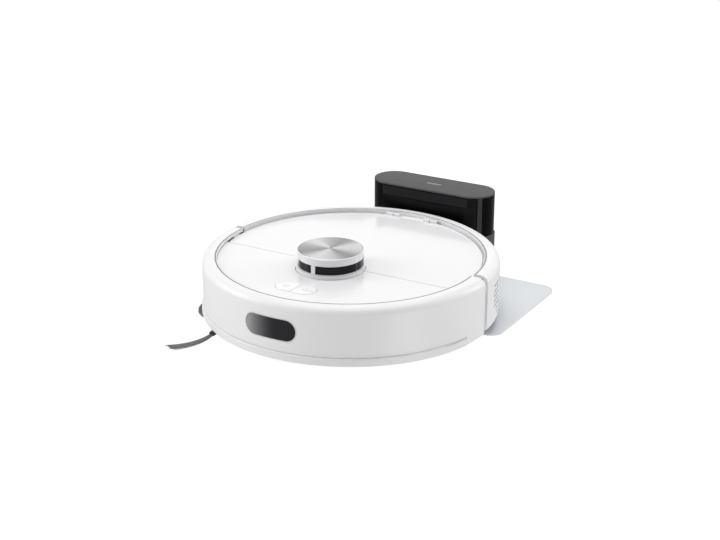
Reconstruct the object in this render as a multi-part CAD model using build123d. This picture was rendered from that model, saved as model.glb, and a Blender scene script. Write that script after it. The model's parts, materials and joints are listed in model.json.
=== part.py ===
from build123d import *
import math
import os

os.makedirs("parts", exist_ok=True)

# Robot vacuum parked on its charging dock and floor mat. Millimetres, +Z up,
# the robot's nose points to -Y. Sizes are laid out about the robot's own
# vertical axis, then every piece is shifted so the set is centred on the origin.
SET_SHIFT_Y = -20.0

# Robot envelope
BODY_R = 175.0
WALL = 3.0
TOP_Z = 78.0
TOP_ROUND = 9.5
RING_UNDER_Z = 74.5
CHASSIS_R = 166.0
CHASSIS_WALL = 1.6
PLATE_Z = 12.0
PLATE_T = 3.0
CHASSIS_TOP_Z = 66.0
DECK_Z = 66.4
DECK_T = 2.0
DECK_R = 160.0
COVER_Z = 73.6
COVER_T = 2.5
GAP = 0.3
RUN = 0.05

# Bumper
BUMPER_END_Y = 1.2
BUMPER_BOTTOM_Z = 9.8
BUMPER_EDGE_R = 155.5
BUMPER_EDGE_Y = -3.9
STRIP_TOP_Z = 20.2
STRIP_END_Y = -36.4
STRIP_R = 177.0
WINDOW_W = 64.4
WINDOW_H = 24.6
WINDOW_Z = 46.5
TRIM = 0.9

# Rear shell
SHELL_START_Y = 8.4
SHELL_EDGE_R = 157.0
LEDGE_Z = 70.2
VENT_PITCH = 6.3
VENT_H = 3.0
VENT_ROWS = 7
VENT_FIRST_Z = 19.6

# Covers, lid and buttons
SEAM_Y = -36.0
SEAM_GAP = 0.6
FRONT_COVER_R = 158.0
LID_R = 154.6
HINGE_Y = 150.0
HINGE_Z = 75.5
HINGE_R = 1.8
HINGE_IN_X = 17.0
HINGE_OUT_X = 36.0
NOTCH_HALF = 26.0
PIN_R = 0.9
BUTTON_Y = -120.0
PILL_L = 50.0
PILL_W = 25.0
BUTTON_TOP_Z = 74.0

# Laser turret
TURRET_Y = -46.0
TURRET_R = 38.4
FLANGE_R = 40.5
TURRET_TOP_Z = 97.0
WINDOW_LOW_Z = 78.0
WINDOW_HIGH_Z = 88.4
DISC_R = 37.1
TABLE_R = 26.0
PULLEY_R = 3.5
PULLEY_X = 33.0

# Running gear
WHEEL_X = 114.0
WHEEL_Y = -8.0
WHEEL_R = 32.0
WHEEL_W = 18.0
HUB_R = 24.0
ARM_PIVOT_Y = -60.0
ARM_PIVOT_Z = 45.0
ARM_PIN_R = 2.5
AXLE_R = 4.0
CASTER_Y = -138.0
CASTER_TRAIL = 4.0
CASTER_R = 12.0
CASTER_W = 13.0

# Brushes
BRUSH_Y = -8.0
BRUSH_Z = 22.0
BRUSH_R = 20.0
CORE_R = 8.5
BRUSH_HALF = 70.0
SIDE_X = -105.0
SIDE_Y = -118.0
SIDE_REACH = 80.0
SIDE_HEADING = 284.0
SIDE_BEND = 27.0

# Dock and mat
DOCK_X = 0.0
DOCK_Y = 209.0
DOCK_L = 168.0
DOCK_W = 54.0
DOCK_FLARE = 3.0
DOCK_SPLIT_Z = 50.0
DOCK_TOP_Z = 104.0
DOCK_FLOOR_Z = 2.3
CONTACT_X = 20.0
CONTACT_Z = 25.0
CONTACT_TIP_Y = 175.0
IR_HALF = 61.0
INLET_X = 43.0
INLET_Z = 22.0
MAT_HALF_X = 182.7
MAT_FRONT_Y = 20.0
MAT_BACK_Y = 195.0
MAT_T = 2.0


def block(x0, x1, y0, y1, z0, z1):
    """Rectangular block between two corners."""
    return Pos((x0 + x1) / 2, (y0 + y1) / 2, (z0 + z1) / 2) * Box(x1 - x0, y1 - y0, z1 - z0)


def post(x, y, z0, z1, r):
    """Upright round post."""
    return Pos(x, y, (z0 + z1) / 2) * Cylinder(r, z1 - z0)


def bar_x(x0, x1, y, z, r):
    """Round bar along X."""
    return Pos((x0 + x1) / 2, y, z) * Rot(0, 90, 0) * Cylinder(r, x1 - x0)


def bar_y(x, y0, y1, z, r):
    """Round bar along Y."""
    return Pos(x, (y0 + y1) / 2, z) * Rot(90, 0, 0) * Cylinder(r, y1 - y0)


def tube(x, y, z0, z1, r_in, r_out):
    """Upright tube."""
    return post(x, y, z0, z1, r_out) - post(x, y, z0 - 1, z1 + 1, r_in)


def pill(cx, cy, length, width, z0, z1):
    """Flat-sided prism with half-round ends, long along X."""
    return extrude(Pos(cx, cy, z0) * SlotOverall(length, width), z1 - z0)


def pill_front(cx, cz, length, width, y0, y1):
    """The same prism lying across the front, long along X, pushed along Y."""
    face = Plane(origin=(cx, y1, cz), x_dir=(1, 0, 0), z_dir=(0, -1, 0)) * SlotOverall(length, width)
    return extrude(face, y1 - y0)


def turned(edges):
    """Solid of revolution about Z from a closed outline of edges in the XZ plane."""
    return revolve(make_face(edges), Axis.Z)


def rounded_wall(bottom_z, edge_r):
    """Outer wall with a large top rounding that turns in to a flat rim."""
    corner_z = TOP_Z - TOP_ROUND
    corner_r = BODY_R - TOP_ROUND
    bend = TOP_ROUND * math.sin(math.radians(45))
    inner_r = BODY_R - WALL
    inner_round = TOP_ROUND - WALL
    inner_z = RING_UNDER_Z - inner_round
    inner_bend = inner_round * math.sin(math.radians(45))
    outer_arc = ThreePointArc(
        (BODY_R, 0, corner_z), (corner_r + bend, 0, corner_z + bend), (corner_r, 0, TOP_Z)
    )
    inner_arc = ThreePointArc(
        (inner_r - inner_round, 0, RING_UNDER_Z),
        (inner_r - inner_round + inner_bend, 0, inner_z + inner_bend),
        (inner_r, 0, inner_z),
    )
    foot = 1.2
    outline = [
        Line((BODY_R, 0, bottom_z + foot), (BODY_R, 0, corner_z)),
        outer_arc,
        Line((corner_r, 0, TOP_Z), (edge_r, 0, TOP_Z)),
        Line((edge_r, 0, TOP_Z), (edge_r, 0, RING_UNDER_Z)),
        Line((edge_r, 0, RING_UNDER_Z), (inner_r - inner_round, 0, RING_UNDER_Z)),
        inner_arc,
        Line((inner_r, 0, inner_z), (inner_r, 0, bottom_z)),
        Line((inner_r, 0, bottom_z), (BODY_R - foot, 0, bottom_z)),
        Line((BODY_R - foot, 0, bottom_z), (BODY_R, 0, bottom_z + foot)),
    ]
    return turned(outline)


def half(front, y):
    """Everything in front of, or behind, a plane across the body."""
    if front:
        return block(-300, 300, -300, y, -50, 200)
    return block(-300, 300, y, 400, -50, 200)


def save(name, shape):
    """Write one piece at its place in the set."""
    placed = Pos(0, SET_SHIFT_Y, 0) * shape
    placed.label = name
    export_step(placed, "parts/" + name + ".step")


# ---------------------------------------------------------------- bumper
def bumper_shell():
    """Curved front bumper: wall, rolled top rim, return flanges and window opening."""
    flange_r = 168.6
    edge_cut_r = 150.0
    strip_depth = 1.8
    wall = rounded_wall(BUMPER_BOTTOM_Z, edge_cut_r)
    wall = wall - post(0, BUMPER_EDGE_Y, RING_UNDER_Z - 1, TOP_Z + 1, BUMPER_EDGE_R)
    flange = tube(0, 0, BUMPER_BOTTOM_Z + 2, RING_UNDER_Z - 2, flange_r, BODY_R - WALL + 0.5)
    flange = flange & block(-300, 300, BUMPER_END_Y - WALL, BUMPER_END_Y + 1, 0, 100)
    body = (wall + flange) & half(True, BUMPER_END_Y)
    groove = tube(0, 0, BUMPER_BOTTOM_Z - 1, STRIP_TOP_Z + GAP, BODY_R - strip_depth, BODY_R + 5)
    body = body - (groove & half(True, STRIP_END_Y + GAP))
    opening = pill_front(
        0, WINDOW_Z, WINDOW_W + 2 * TRIM + 2 * GAP, WINDOW_H + 2 * TRIM + 2 * GAP, -190, -150
    )
    return body - opening


def bumper_strip():
    """Soft lower strip that bulges a little from the bumper wall."""
    inner = BODY_R - 1.5
    low = BUMPER_BOTTOM_Z + 0.4
    bevel = 1.6
    outline = Polyline(
        (inner, 0, low), (STRIP_R - bevel, 0, low), (STRIP_R, 0, low + bevel),
        (STRIP_R, 0, STRIP_TOP_Z - 1.0), (STRIP_R - 1.0, 0, STRIP_TOP_Z),
        (inner, 0, STRIP_TOP_Z), close=True,
    )
    strip = revolve(make_face(outline), Axis.Z)
    return strip & half(True, STRIP_END_Y)


def bumper_window():
    """Dark sensor window following the bumper's curve."""
    lens = pill_front(0, WINDOW_Z, WINDOW_W, WINDOW_H, -190, -150)
    return lens & tube(0, 0, 20, 70, BODY_R - 2.6, BODY_R - 0.3)


def bumper_window_trim():
    """Thin bright rim around the sensor window."""
    frame = pill_front(0, WINDOW_Z, WINDOW_W + 2 * TRIM, WINDOW_H + 2 * TRIM, -190, -150)
    frame = frame - pill_front(0, WINDOW_Z, WINDOW_W + 2 * 0.2, WINDOW_H + 2 * 0.2, -191, -149)
    return frame & tube(0, 0, 20, 70, BODY_R - 2.8, BODY_R + 0.2)


# ---------------------------------------------------------------- body shells
def vent_slots(side):
    """Exhaust slots: staggered columns of short horizontal slots on one flank."""
    slots = []
    columns = ((100.5, 107.6, 0.0), (109.2, 116.3, 0.5), (117.9, 125.0, 0.0))
    for start, end, stagger in columns:
        for row in range(VENT_ROWS - (1 if stagger else 0)):
            z = VENT_FIRST_Z + (row + stagger) * VENT_PITCH
            late = max(0, 2 - row) * 2.6 if start < 101 else 0
            mid = math.radians((start + late + end) / 2)
            length = math.radians(end - start - late) * BODY_R
            where = Location(
                (side * BODY_R * math.sin(mid), -BODY_R * math.cos(mid), z),
                (0, 0, side * (math.degrees(mid) - 90)),
            )
            slot = where * Box(12, length, VENT_H)
            slots.append(slot)
    return slots


def rear_side_shell():
    """Rear half of the side wall with its rim, air slots and contact pockets."""
    lip_z = 69.0
    lip_t = 2.4
    flange_r = 166.4
    shell = rounded_wall(PLATE_Z, SHELL_EDGE_R)
    shell = shell + tube(0, 0, lip_z, RING_UNDER_Z + 1, SHELL_EDGE_R, SHELL_EDGE_R + lip_t)
    ledge = tube(0, 0, lip_z, LEDGE_Z, LID_R + 0.4, SHELL_EDGE_R + 0.5)
    shell = shell + (ledge - block(-46, 46, 100, 200, 60, 80))
    flange = tube(0, 0, PLATE_Z + 2, RING_UNDER_Z - 2, flange_r, BODY_R - WALL + 0.5)
    shell = shell + (flange & block(-300, 300, SHELL_START_Y, SHELL_START_Y + WALL, 0, 100))
    shell = shell & half(False, SHELL_START_Y)
    for side in (-1, 1):
        shell = shell - vent_slots(side)
        pocket = block(side * CONTACT_X - 6.3, side * CONTACT_X + 6.3, 160, 190, 19.7, 30.3)
        shell = shell - (pocket & tube(0, 0, 15, 35, BODY_R - 1.8, BODY_R + 5))
    return shell


def charging_plates():
    """Two metal contact plates let into the back of the shell."""
    plates = []
    for side in (-1, 1):
        pad = block(side * CONTACT_X - 6, side * CONTACT_X + 6, 160, 190, 20, 30)
        plates.append(pad & tube(0, 0, 15, 35, BODY_R - 1.5, BODY_R + 0.4))
    return Compound(plates)


SCREW_SPOTS = (
    (-60, -118), (60, -118), (-136, -76), (136, -76), (-146, 40), (146, 40), (-70, 125), (70, 125)
)
SENSOR_SPOTS = ((-56, -139, 14, 7), (56, -139, 14, 7), (-141, -51, 7, 14), (141, -51, 7, 14))
CUP_R = 19.0


def wheel_bracket(side):
    """Upright bracket carrying one suspension pin."""
    x0, x1 = sorted((side * 91, side * 94.5))
    plate = block(x0, x1, -68, -52, PLATE_Z + 1, 52)
    p0, p1 = sorted((side * 91.2, side * 104))
    return plate + bar_x(p0, p1, ARM_PIVOT_Y, ARM_PIVOT_Z, ARM_PIN_R)


def lower_housing():
    """Floor plate that carries everything, with its bosses, brackets and caster cup."""
    tray = post(0, 0, PLATE_Z, PLATE_Z + PLATE_T, CHASSIS_R)
    tray = chamfer(tray.edges().group_by(Axis.Z)[0], 1.5)
    tray = tray - block(-84, 84, -38, 22, 0, 20)
    tray = tray - block(-122.3, -77.7, 33.7, 98.3, 0, 20)
    for side in (-1, 1):
        well = sorted((side * 95.5, side * 125.5))
        tray = tray - block(well[0], well[1], -72, 28, 0, 20)
    tray = tray - post(0, CASTER_Y, 0, 20, CUP_R)
    tray = tray + tube(0, CASTER_Y, PLATE_Z, 30, CUP_R, CUP_R + 2)
    tray = tray + tube(0, CASTER_Y, 27, 40, AXLE_R + RUN, 8)
    tray = tray + tube(0, CASTER_Y, 27, 30, 7, CUP_R + 1)
    tray = tray - post(SIDE_X, SIDE_Y, 0, 20, 3.0 + RUN)
    for x, y in SCREW_SPOTS:
        tray = tray + post(x, y, PLATE_Z + PLATE_T - 0.5, 30, 3.8)
        tray = tray - post(x, y, 0, 31, 1.7)
        tray = tray - post(x, y, 0, PLATE_Z + 1.8, 3.1)
    for x, y, sx, sy in SENSOR_SPOTS:
        tray = tray - (Pos(x, y, 15) * Box(sx + 2 * GAP, sy + 2 * GAP, 30))
    return tray + wheel_bracket(-1) + wheel_bracket(1)


def chassis_wall():
    """Inner side wall standing on the floor plate under the deck."""
    return tube(0, 0, PLATE_Z + PLATE_T, CHASSIS_TOP_Z, CHASSIS_R - CHASSIS_WALL, CHASSIS_R)


def hinge_bracket():
    """Fixed centre block of the lid hinge, flush with the lid, with two raised knuckles."""
    end_x = NOTCH_HALF - 0.5
    body = block(-end_x, end_x, HINGE_Y - 3.3, HINGE_Y + 10, DECK_Z + 1, COVER_Z)
    body = body + block(-45, 45, HINGE_Y + 2.9, HINGE_Y + 10, DECK_Z + 1, COVER_Z)
    body = body & post(0, 0, 60, 80, SHELL_EDGE_R - 2 * GAP)
    for side in (-1, 1):
        x0, x1 = sorted((side * HINGE_IN_X, side * end_x))
        body = body + bar_x(x0, x1, HINGE_Y, HINGE_Z, HINGE_R)
        body = body + block(x0, x1, HINGE_Y - HINGE_R, HINGE_Y + HINGE_R, COVER_Z - 1, HINGE_Z)
        body = body - bar_x(x0 + 1.2, x1 + 1.2, HINGE_Y, HINGE_Z, PIN_R + RUN)
        body = body - bar_x(x0 - 1.2, x1 - 1.2, HINGE_Y, HINGE_Z, PIN_R + RUN)
    return body


def top_deck():
    """Inner deck with the dust bin opening, turret bearing and lid hinge bracket."""
    deck = post(0, 0, DECK_Z, DECK_Z + DECK_T, DECK_R)
    deck = deck - block(-68, 52, 24, 110, 60, 70)
    deck = deck + post(0, TURRET_Y, 60, DECK_Z + 0.5, 8)
    deck = deck - post(0, TURRET_Y, 55, 70, 5.0 + RUN)
    deck = deck - post(PULLEY_X, TURRET_Y, 60, 70, 1.6)
    return deck + hinge_bracket()


def cut_to_side(plate, front):
    """Keep a cover plate on one side of the seam and cut it back around the turret."""
    y = SEAM_Y - SEAM_GAP / 2 if front else SEAM_Y + SEAM_GAP / 2
    plate = plate & half(front, y)
    return plate - post(0, TURRET_Y, 60, 90, FLANGE_R + 0.6)


def front_cover():
    """Fixed front cover with a skirt below its rim and the button opening."""
    low = COVER_Z - COVER_T
    foot = DECK_Z + DECK_T + GAP
    edge = 0.6
    outline = Polyline(
        (0, 0, low), (FRONT_COVER_R - 2.5, 0, low), (FRONT_COVER_R - 2.5, 0, foot),
        (FRONT_COVER_R, 0, foot), (FRONT_COVER_R, 0, COVER_Z - edge),
        (FRONT_COVER_R - edge, 0, COVER_Z), (0, 0, COVER_Z), close=True,
    )
    cover = cut_to_side(revolve(make_face(outline), Axis.Z), True)
    hole = pill(0, BUTTON_Y, PILL_L + 2 * GAP, PILL_W + 2 * GAP, 60, 80)
    return cover - hole


def lid_panel():
    """Opening rear lid with stiffening ribs and two hinge knuckles at the back."""
    plate = post(0, 0, COVER_Z - COVER_T, COVER_Z, LID_R)
    plate = fillet(plate.edges().group_by(Axis.Z)[-1], 0.6)
    lid = cut_to_side(plate, False)
    lid = lid - block(-NOTCH_HALF, NOTCH_HALF, HINGE_Y - 4, 170, 60, 90)
    under_z = COVER_Z - COVER_T
    for side in (-1, 1):
        x0, x1 = sorted((side * (NOTCH_HALF + GAP), side * HINGE_OUT_X))
        barrel = bar_x(x0, x1, HINGE_Y, HINGE_Z, HINGE_R)
        root = block(x0, x1, HINGE_Y - HINGE_R, HINGE_Y + HINGE_R, COVER_Z - 1.5, HINGE_Z)
        lid = lid + barrel + root
        lid = lid - bar_x(x0 - 1, x1 + 1, HINGE_Y, HINGE_Z, PIN_R + RUN)
        rib = block(side * 60 - 1, side * 60 + 1, -10, 125, under_z - 1.9, under_z + 0.5)
        lid = lid + rib
    tab = pill(0, 4, 40, 8, under_z - 1.5, under_z + 0.5)
    return lid + tab


def lid_hinge_pin():
    """Two short steel pins through the knuckles of lid and bracket."""
    pins = []
    for side in (-1, 1):
        x0, x1 = sorted((side * (HINGE_IN_X + 0.5), side * (HINGE_OUT_X - 0.5)))
        pins.append(bar_x(x0, x1, HINGE_Y, HINGE_Z, PIN_R))
    return Compound(pins)


def button(side):
    """One half of the pill-shaped key pad, with a plunger below."""
    divider = 0.35
    key = pill(0, BUTTON_Y, PILL_L, PILL_W, BUTTON_TOP_Z - 2.4, BUTTON_TOP_Z)
    key = fillet(key.edges().group_by(Axis.Z)[-1], 0.5)
    x0, x1 = sorted((side * divider, side * 60))
    key = key & block(x0, x1, BUTTON_Y - 30, BUTTON_Y + 30, 60, 80)
    key = key + post(side * 11, BUTTON_Y, 71.0, BUTTON_TOP_Z - 1, 3)
    if side > 0:
        key = key - post(20, BUTTON_Y, 60, 80, 1.5)
    return key


def button_board():
    """Small circuit board with two dome switches."""
    board = pill(0, BUTTON_Y, PILL_L - 1, PILL_W - 1, DECK_Z + DECK_T + GAP, 69.4)
    for side in (-1, 1):
        board = board + post(side * 11, BUTTON_Y, 69.0, 69.8, 2.6)
    return board


def status_led():
    """Light pipe of the status light."""
    return post(20, BUTTON_Y, 69.7, BUTTON_TOP_Z, 1.2)


# ---------------------------------------------------------------- laser turret
def lidar_flange():
    """Ring around the foot of the turret, standing on the deck."""
    ring = tube(0, TURRET_Y, DECK_Z + DECK_T + GAP, 76.8, TURRET_R - 0.1, FLANGE_R)
    return ring + tube(0, TURRET_Y, 75.4, 76.8, TURRET_R - 2.7, FLANGE_R - 1)


def lidar_housing():
    """White turret: foot ring, three pillars and a cap with a shallow recess."""
    cap = post(0, TURRET_Y, WINDOW_HIGH_Z, TURRET_TOP_Z, TURRET_R)
    cap = chamfer(cap.edges().group_by(Axis.Z)[-1], 0.6)
    cap = cap - post(0, TURRET_Y, WINDOW_HIGH_Z - 1, 93.4, TURRET_R - 3)
    cap = cap - post(0, TURRET_Y, 95.3, 100, DISC_R + GAP)
    body = cap + tube(0, TURRET_Y, 77.1, WINDOW_LOW_Z, TURRET_R - 2.7, TURRET_R + 0.6)
    for azimuth in (0, 120, 240):
        pillar = Pos(0, -TURRET_R, 83) * Box(5.4, 6, WINDOW_HIGH_Z - WINDOW_LOW_Z + 1.4)
        pillar = Pos(0, TURRET_Y, 0) * Rot(0, 0, azimuth) * pillar
        body = body + (pillar & tube(0, TURRET_Y, 77.2, 89.2, TURRET_R - 0.8, TURRET_R))
    return body


def lidar_window():
    """Dark band behind the turret's three openings."""
    return tube(0, TURRET_Y, WINDOW_LOW_Z + GAP, WINDOW_HIGH_Z - GAP, TURRET_R - 2.5, TURRET_R - 1.1)


def lidar_top_disc():
    """Spun metal disc on the turret."""
    disc = post(0, TURRET_Y, 95.6, TURRET_TOP_Z + 0.2, DISC_R)
    return chamfer(disc.edges().group_by(Axis.Z)[-1], 0.3)


def lidar_scanner():
    """Turning laser head on its belt-driven table."""
    table = post(0, TURRET_Y, 70.0, 73.6, TABLE_R)
    table = table + post(0, TURRET_Y, 60.5, 70.5, 5.0)
    table = table + post(0, TURRET_Y, 73.0, 77.0, TABLE_R + 3)
    head = block(-26, 26, TURRET_Y - 15, TURRET_Y + 15, 76.5, 90)
    head = head & post(0, TURRET_Y, 70, 92, 30)
    for side in (-1, 1):
        barrel = bar_y(side * 12, TURRET_Y - 19, TURRET_Y - 10, 83, 5 if side > 0 else 6.2)
        head = head + barrel
    return table + head


def lidar_pulley():
    """Small pulley on the turret motor's shaft."""
    wheel = post(PULLEY_X, TURRET_Y, 70.2, 73.4, PULLEY_R)
    return wheel - post(PULLEY_X, TURRET_Y, 69, 75, 1.0 + RUN)


def lidar_motor():
    """Turret motor hanging under the deck."""
    return post(PULLEY_X, TURRET_Y, 50, 66, 7) + post(PULLEY_X, TURRET_Y, 65, 73.8, 1.0)


def belt_loop(extra, z0, z1):
    """Solid inside of a belt path around table and pulley."""
    big = Pos(0, TURRET_Y) * Circle(TABLE_R + extra)
    small = Pos(PULLEY_X, TURRET_Y) * Circle(PULLEY_R + extra)
    face = make_hull(big.edges() + small.edges())
    return extrude(Pos(0, 0, z0) * face, z1 - z0)


def lidar_belt():
    """Drive belt around the table and the pulley."""
    return belt_loop(1.2, 71.0, 72.4) - belt_loop(0.3, 70.0, 74.0)


# ---------------------------------------------------------------- inner works
def battery_pack():
    """Shrink-wrapped cell pack."""
    pack = block(-122, -78, 34, 98, 15.5, 50)
    return fillet(pack.edges().filter_by(Axis.Y), 6)


def battery_door():
    """Door in the floor plate under the battery."""
    return block(-122, -78, 34, 98, PLATE_Z + 0.2, PLATE_Z + 2.4)


def main_board():
    """Main circuit board with its larger components."""
    board = block(-70, 70, -128, -92, 58, 59.6)
    for x, w in ((-48, 14), (-20, 10), (14, 18), (46, 12)):
        board = board + block(x - w / 2, x + w / 2, -118, -104, 59, 62)
    return board


def fan_housing():
    """Snail housing of the suction fan, open at the top and to the side outlet."""
    cup = post(96, 72, 18, 56, 34) - post(96, 72, 20, 54, 32)
    cup = cup - post(96, 72, 50, 60, 12)
    outlet = block(122, 140, 60, 84, 22, 50)
    outlet = outlet - block(110, 141, 62, 82, 24, 48)
    cup = cup - block(110, 141, 62, 82, 24, 48)
    cup = cup + (outlet - post(96, 72, 0, 60, 33.5))
    cup = cup + post(96, 72, 18, 28, 8)
    return cup + post(96, 72, 27, 49, 3.0)


def fan_impeller():
    """Bladed fan wheel on its shaft stub."""
    wheel = post(96, 72, 30, 32, 28) + tube(96, 72, 28.5, 48, 3.05, 6)
    for i in range(9):
        blade = Pos(17, 0, 40) * Rot(0, 0, 28) * Box(22, 1.4, 16.5)
        wheel = wheel + Pos(96, 72, 0) * Rot(0, 0, 40 * i) * blade
    return wheel - post(96, 72, 20, 60, 3.0 + RUN)


def side_brush_gearbox():
    """Motor and gear case of the side brush."""
    case = post(-96, -108, 15.4, 40, 13) + post(SIDE_X, SIDE_Y, 15.4, 30, 5.2)
    return case - post(SIDE_X, SIDE_Y, 10, 26, 3.0 + RUN)


def brush_housing():
    """Tunnel over the main brush with end bearings, suction mouth and gear case."""
    tunnel = block(-78.3, 78.3, -34, 18, 15.4, 48) - block(-76.3, 76.3, -32, 16, 10, 46)
    tunnel = tunnel - bar_x(-90, 90, BRUSH_Y, BRUSH_Z, 3.0 + RUN)
    tunnel = tunnel - block(-25, 25, 10, 20, 28, 44)
    case = block(78.1, 93, -30, 14, 15.4, 50)
    case = fillet(case.edges().filter_by(Axis.X), 5)
    return tunnel + (case - bar_x(70, 80, BRUSH_Y, BRUSH_Z, 4))


def brush_guard():
    """Removable frame around the brush mouth."""
    frame = block(-83.7, 83.7, -37.7, 21.7, 11.2, 14.6) - block(-75.5, 75.5, -31, 15, 0, 20)
    frame = fillet(frame.edges().filter_by(Axis.Z).group_by(Axis.X)[0], 4)
    return frame


def cliff_sensors():
    """Four downward-looking sensor windows in the floor plate."""
    parts = []
    for x, y, sx, sy in SENSOR_SPOTS:
        parts.append(Pos(x, y, 18) * Box(sx, sy, 11.6))
    return Compound(parts)


def screw(x, y, head_z, length, head_r, shank_r):
    """Pan-head screw seen from below, with a cross recess."""
    head = post(x, y, head_z, head_z + 1.5, head_r)
    cross = Pos(x, y, head_z) * Box(head_r * 1.3, 0.6, 1.2)
    cross = cross + Pos(x, y, head_z) * Box(0.6, head_r * 1.3, 1.2)
    return (head + post(x, y, head_z + 1, head_z + length, shank_r)) - cross


def housing_screws():
    """Screws through the floor plate."""
    return Compound([screw(x, y, PLATE_Z + 0.1, 14, 2.8, 1.4) for x, y in SCREW_SPOTS])


def dustbin():
    """Dust bin with its inlet mouth towards the brush and a filter opening."""
    box = block(-66, 50, 26, 108, 20, 64)
    box = fillet(box.edges().filter_by(Axis.Z), 6)
    box = box - block(-64, 48, 28, 106, 22, 65)
    box = box - block(-25, 25, 20, 30, 28, 44)
    return box - block(46, 60, 44, 90, 28, 56)


def dustbin_cover():
    """Lid of the dust bin with a finger grip standing in a recess."""
    cover = block(-66, 50, 26, 108, 64.3, 67.5)
    cover = fillet(cover.edges().filter_by(Axis.Z), 6)
    cover = cover - block(-30, 14, 56, 78, 66, 68)
    handle = block(-29, 13, 60, 76, 66.4, 69.0) - block(-24, 8, 50, 71, 65, 70)
    ears = block(-30.5, -24, 58, 64, 65.5, 68.5) + block(8, 14.5, 58, 64, 65.5, 68.5)
    return cover + handle + ears


def dust_filter():
    """Pleated filter in the side of the bin."""
    pleats = block(50.4, 52.0, 45, 89, 29, 55)
    for i in range(14):
        pleats = pleats + block(51.5, 54.5, 45.6 + 3.1 * i, 47.0 + 3.1 * i, 29.5, 54.5)
    return pleats


# ---------------------------------------------------------------- running gear
def suspension_arm(side):
    """Swinging arm with the wheel's reduction gears inside."""
    inner, outer = 96.4, 103.2
    x0, x1 = sorted((side * inner, side * outer))
    arm = bar_x(x0, x1, ARM_PIVOT_Y, ARM_PIVOT_Z, 8) + bar_x(x0, x1, WHEEL_Y, WHEEL_R, 15)
    rise = math.degrees(math.atan2(WHEEL_R - ARM_PIVOT_Z, WHEEL_Y - ARM_PIVOT_Y))
    mid_y = (ARM_PIVOT_Y + WHEEL_Y) / 2
    mid_z = (ARM_PIVOT_Z + WHEEL_R) / 2
    web = Pos((x0 + x1) / 2, mid_y, mid_z) * Rot(rise, 0, 0) * Box(outer - inner, 48, 17)
    arm = arm + web
    arm = arm - bar_x(x0 - 1, x1 + 1, ARM_PIVOT_Y, ARM_PIVOT_Z, ARM_PIN_R + RUN)
    return arm - bar_x(x0 - 1, x1 + 1, WHEEL_Y, WHEEL_R, AXLE_R + RUN)


def wheel_hub(side):
    """Spoked hub with its stub axle."""
    x0, x1 = sorted((side * (WHEEL_X - WHEEL_W / 2 + 1), side * (WHEEL_X + WHEEL_W / 2 - 1)))
    hub = bar_x(x0, x1, WHEEL_Y, WHEEL_R, HUB_R)
    d0, d1 = sorted((side * (WHEEL_X + 3), side * (WHEEL_X + 12)))
    hub = hub - (bar_x(d0, d1, WHEEL_Y, WHEEL_R, 19) - bar_x(d0, d1, WHEEL_Y, WHEEL_R, 7))
    for i in range(6):
        spoke = Pos(0, 12.5, 0) * Box(5, 13.5, 3.4)
        spoke = Rot(60 * i, 0, 0) * spoke
        hub = hub + Pos(side * (WHEEL_X + 5), WHEEL_Y, WHEEL_R) * spoke
    s0, s1 = sorted((side * 97, side * (WHEEL_X - WHEEL_W / 2 + 2)))
    return hub + bar_x(s0, s1, WHEEL_Y, WHEEL_R, AXLE_R)


def tyre(side):
    """Rubber tyre with cross treads."""
    x0, x1 = sorted((side * (WHEEL_X - WHEEL_W / 2), side * (WHEEL_X + WHEEL_W / 2)))
    ring = bar_x(x0, x1, WHEEL_Y, WHEEL_R, WHEEL_R) - bar_x(x0 - 1, x1 + 1, WHEEL_Y, WHEEL_R, HUB_R + GAP)
    treads = 30
    for i in range(treads):
        groove = Pos(0, 0, WHEEL_R) * Box(WHEEL_W + 2, 2.6, 2.8)
        groove = Rot(360 / treads * (i + 0.5), 0, 0) * groove
        ring = ring - Pos(side * WHEEL_X, WHEEL_Y, WHEEL_R) * groove
    return ring


def caster_fork():
    """Swivelling fork with its stem and wheel pin."""
    y = CASTER_Y + CASTER_TRAIL
    fork = post(0, CASTER_Y, 24.5, 26.6, 17) + post(0, CASTER_Y, 26, 38, AXLE_R)
    for side in (-1, 1):
        x0, x1 = sorted((side * 7.2, side * 10))
        cheek = block(x0, x1, y - 5, y + 5, CASTER_R, 25)
        cheek = cheek + bar_x(x0, x1, y, CASTER_R, 5)
        fork = fork + cheek
    return fork + bar_x(-9, 9, y, CASTER_R, 2.0)


def caster_wheel():
    """Front caster wheel."""
    y = CASTER_Y + CASTER_TRAIL
    wheel = bar_x(-CASTER_W / 2, CASTER_W / 2, y, CASTER_R, CASTER_R)
    wheel = fillet(wheel.edges(), 2)
    wheel = wheel - bar_x(-8, 8, y, CASTER_R, 2.0 + RUN)
    return wheel


# ---------------------------------------------------------------- brushes
def main_brush_core():
    """Roller core with its end journals."""
    core = bar_x(-BRUSH_HALF, BRUSH_HALF, BRUSH_Y, BRUSH_Z, CORE_R)
    core = core + bar_x(-78, 78, BRUSH_Y, BRUSH_Z, 3.0)
    for side in (-1, 1):
        x0, x1 = sorted((side * 71.5, side * 73.5))
        core = core + bar_x(x0, x1, BRUSH_Y, BRUSH_Z, 13)
    return core


def main_brush_bristles():
    """Five V-shaped rows of tufts around the roller."""
    rows, tufts = 5, 15
    step = 2 * (BRUSH_HALF - 4) / (tufts - 1)
    clumps = []
    for row in range(rows):
        for i in range(tufts):
            x = -BRUSH_HALF + 4 + step * i
            turn = 360 / rows * row + 0.6 * abs(x)
            tuft = Pos(0, 0, (CORE_R + GAP + BRUSH_R) / 2) * Box(5.4, 3.0, BRUSH_R - CORE_R - GAP)
            clumps.append(Pos(x, BRUSH_Y, BRUSH_Z) * Rot(turn, 0, 0) * tuft)
    return Compound(clumps)


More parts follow.
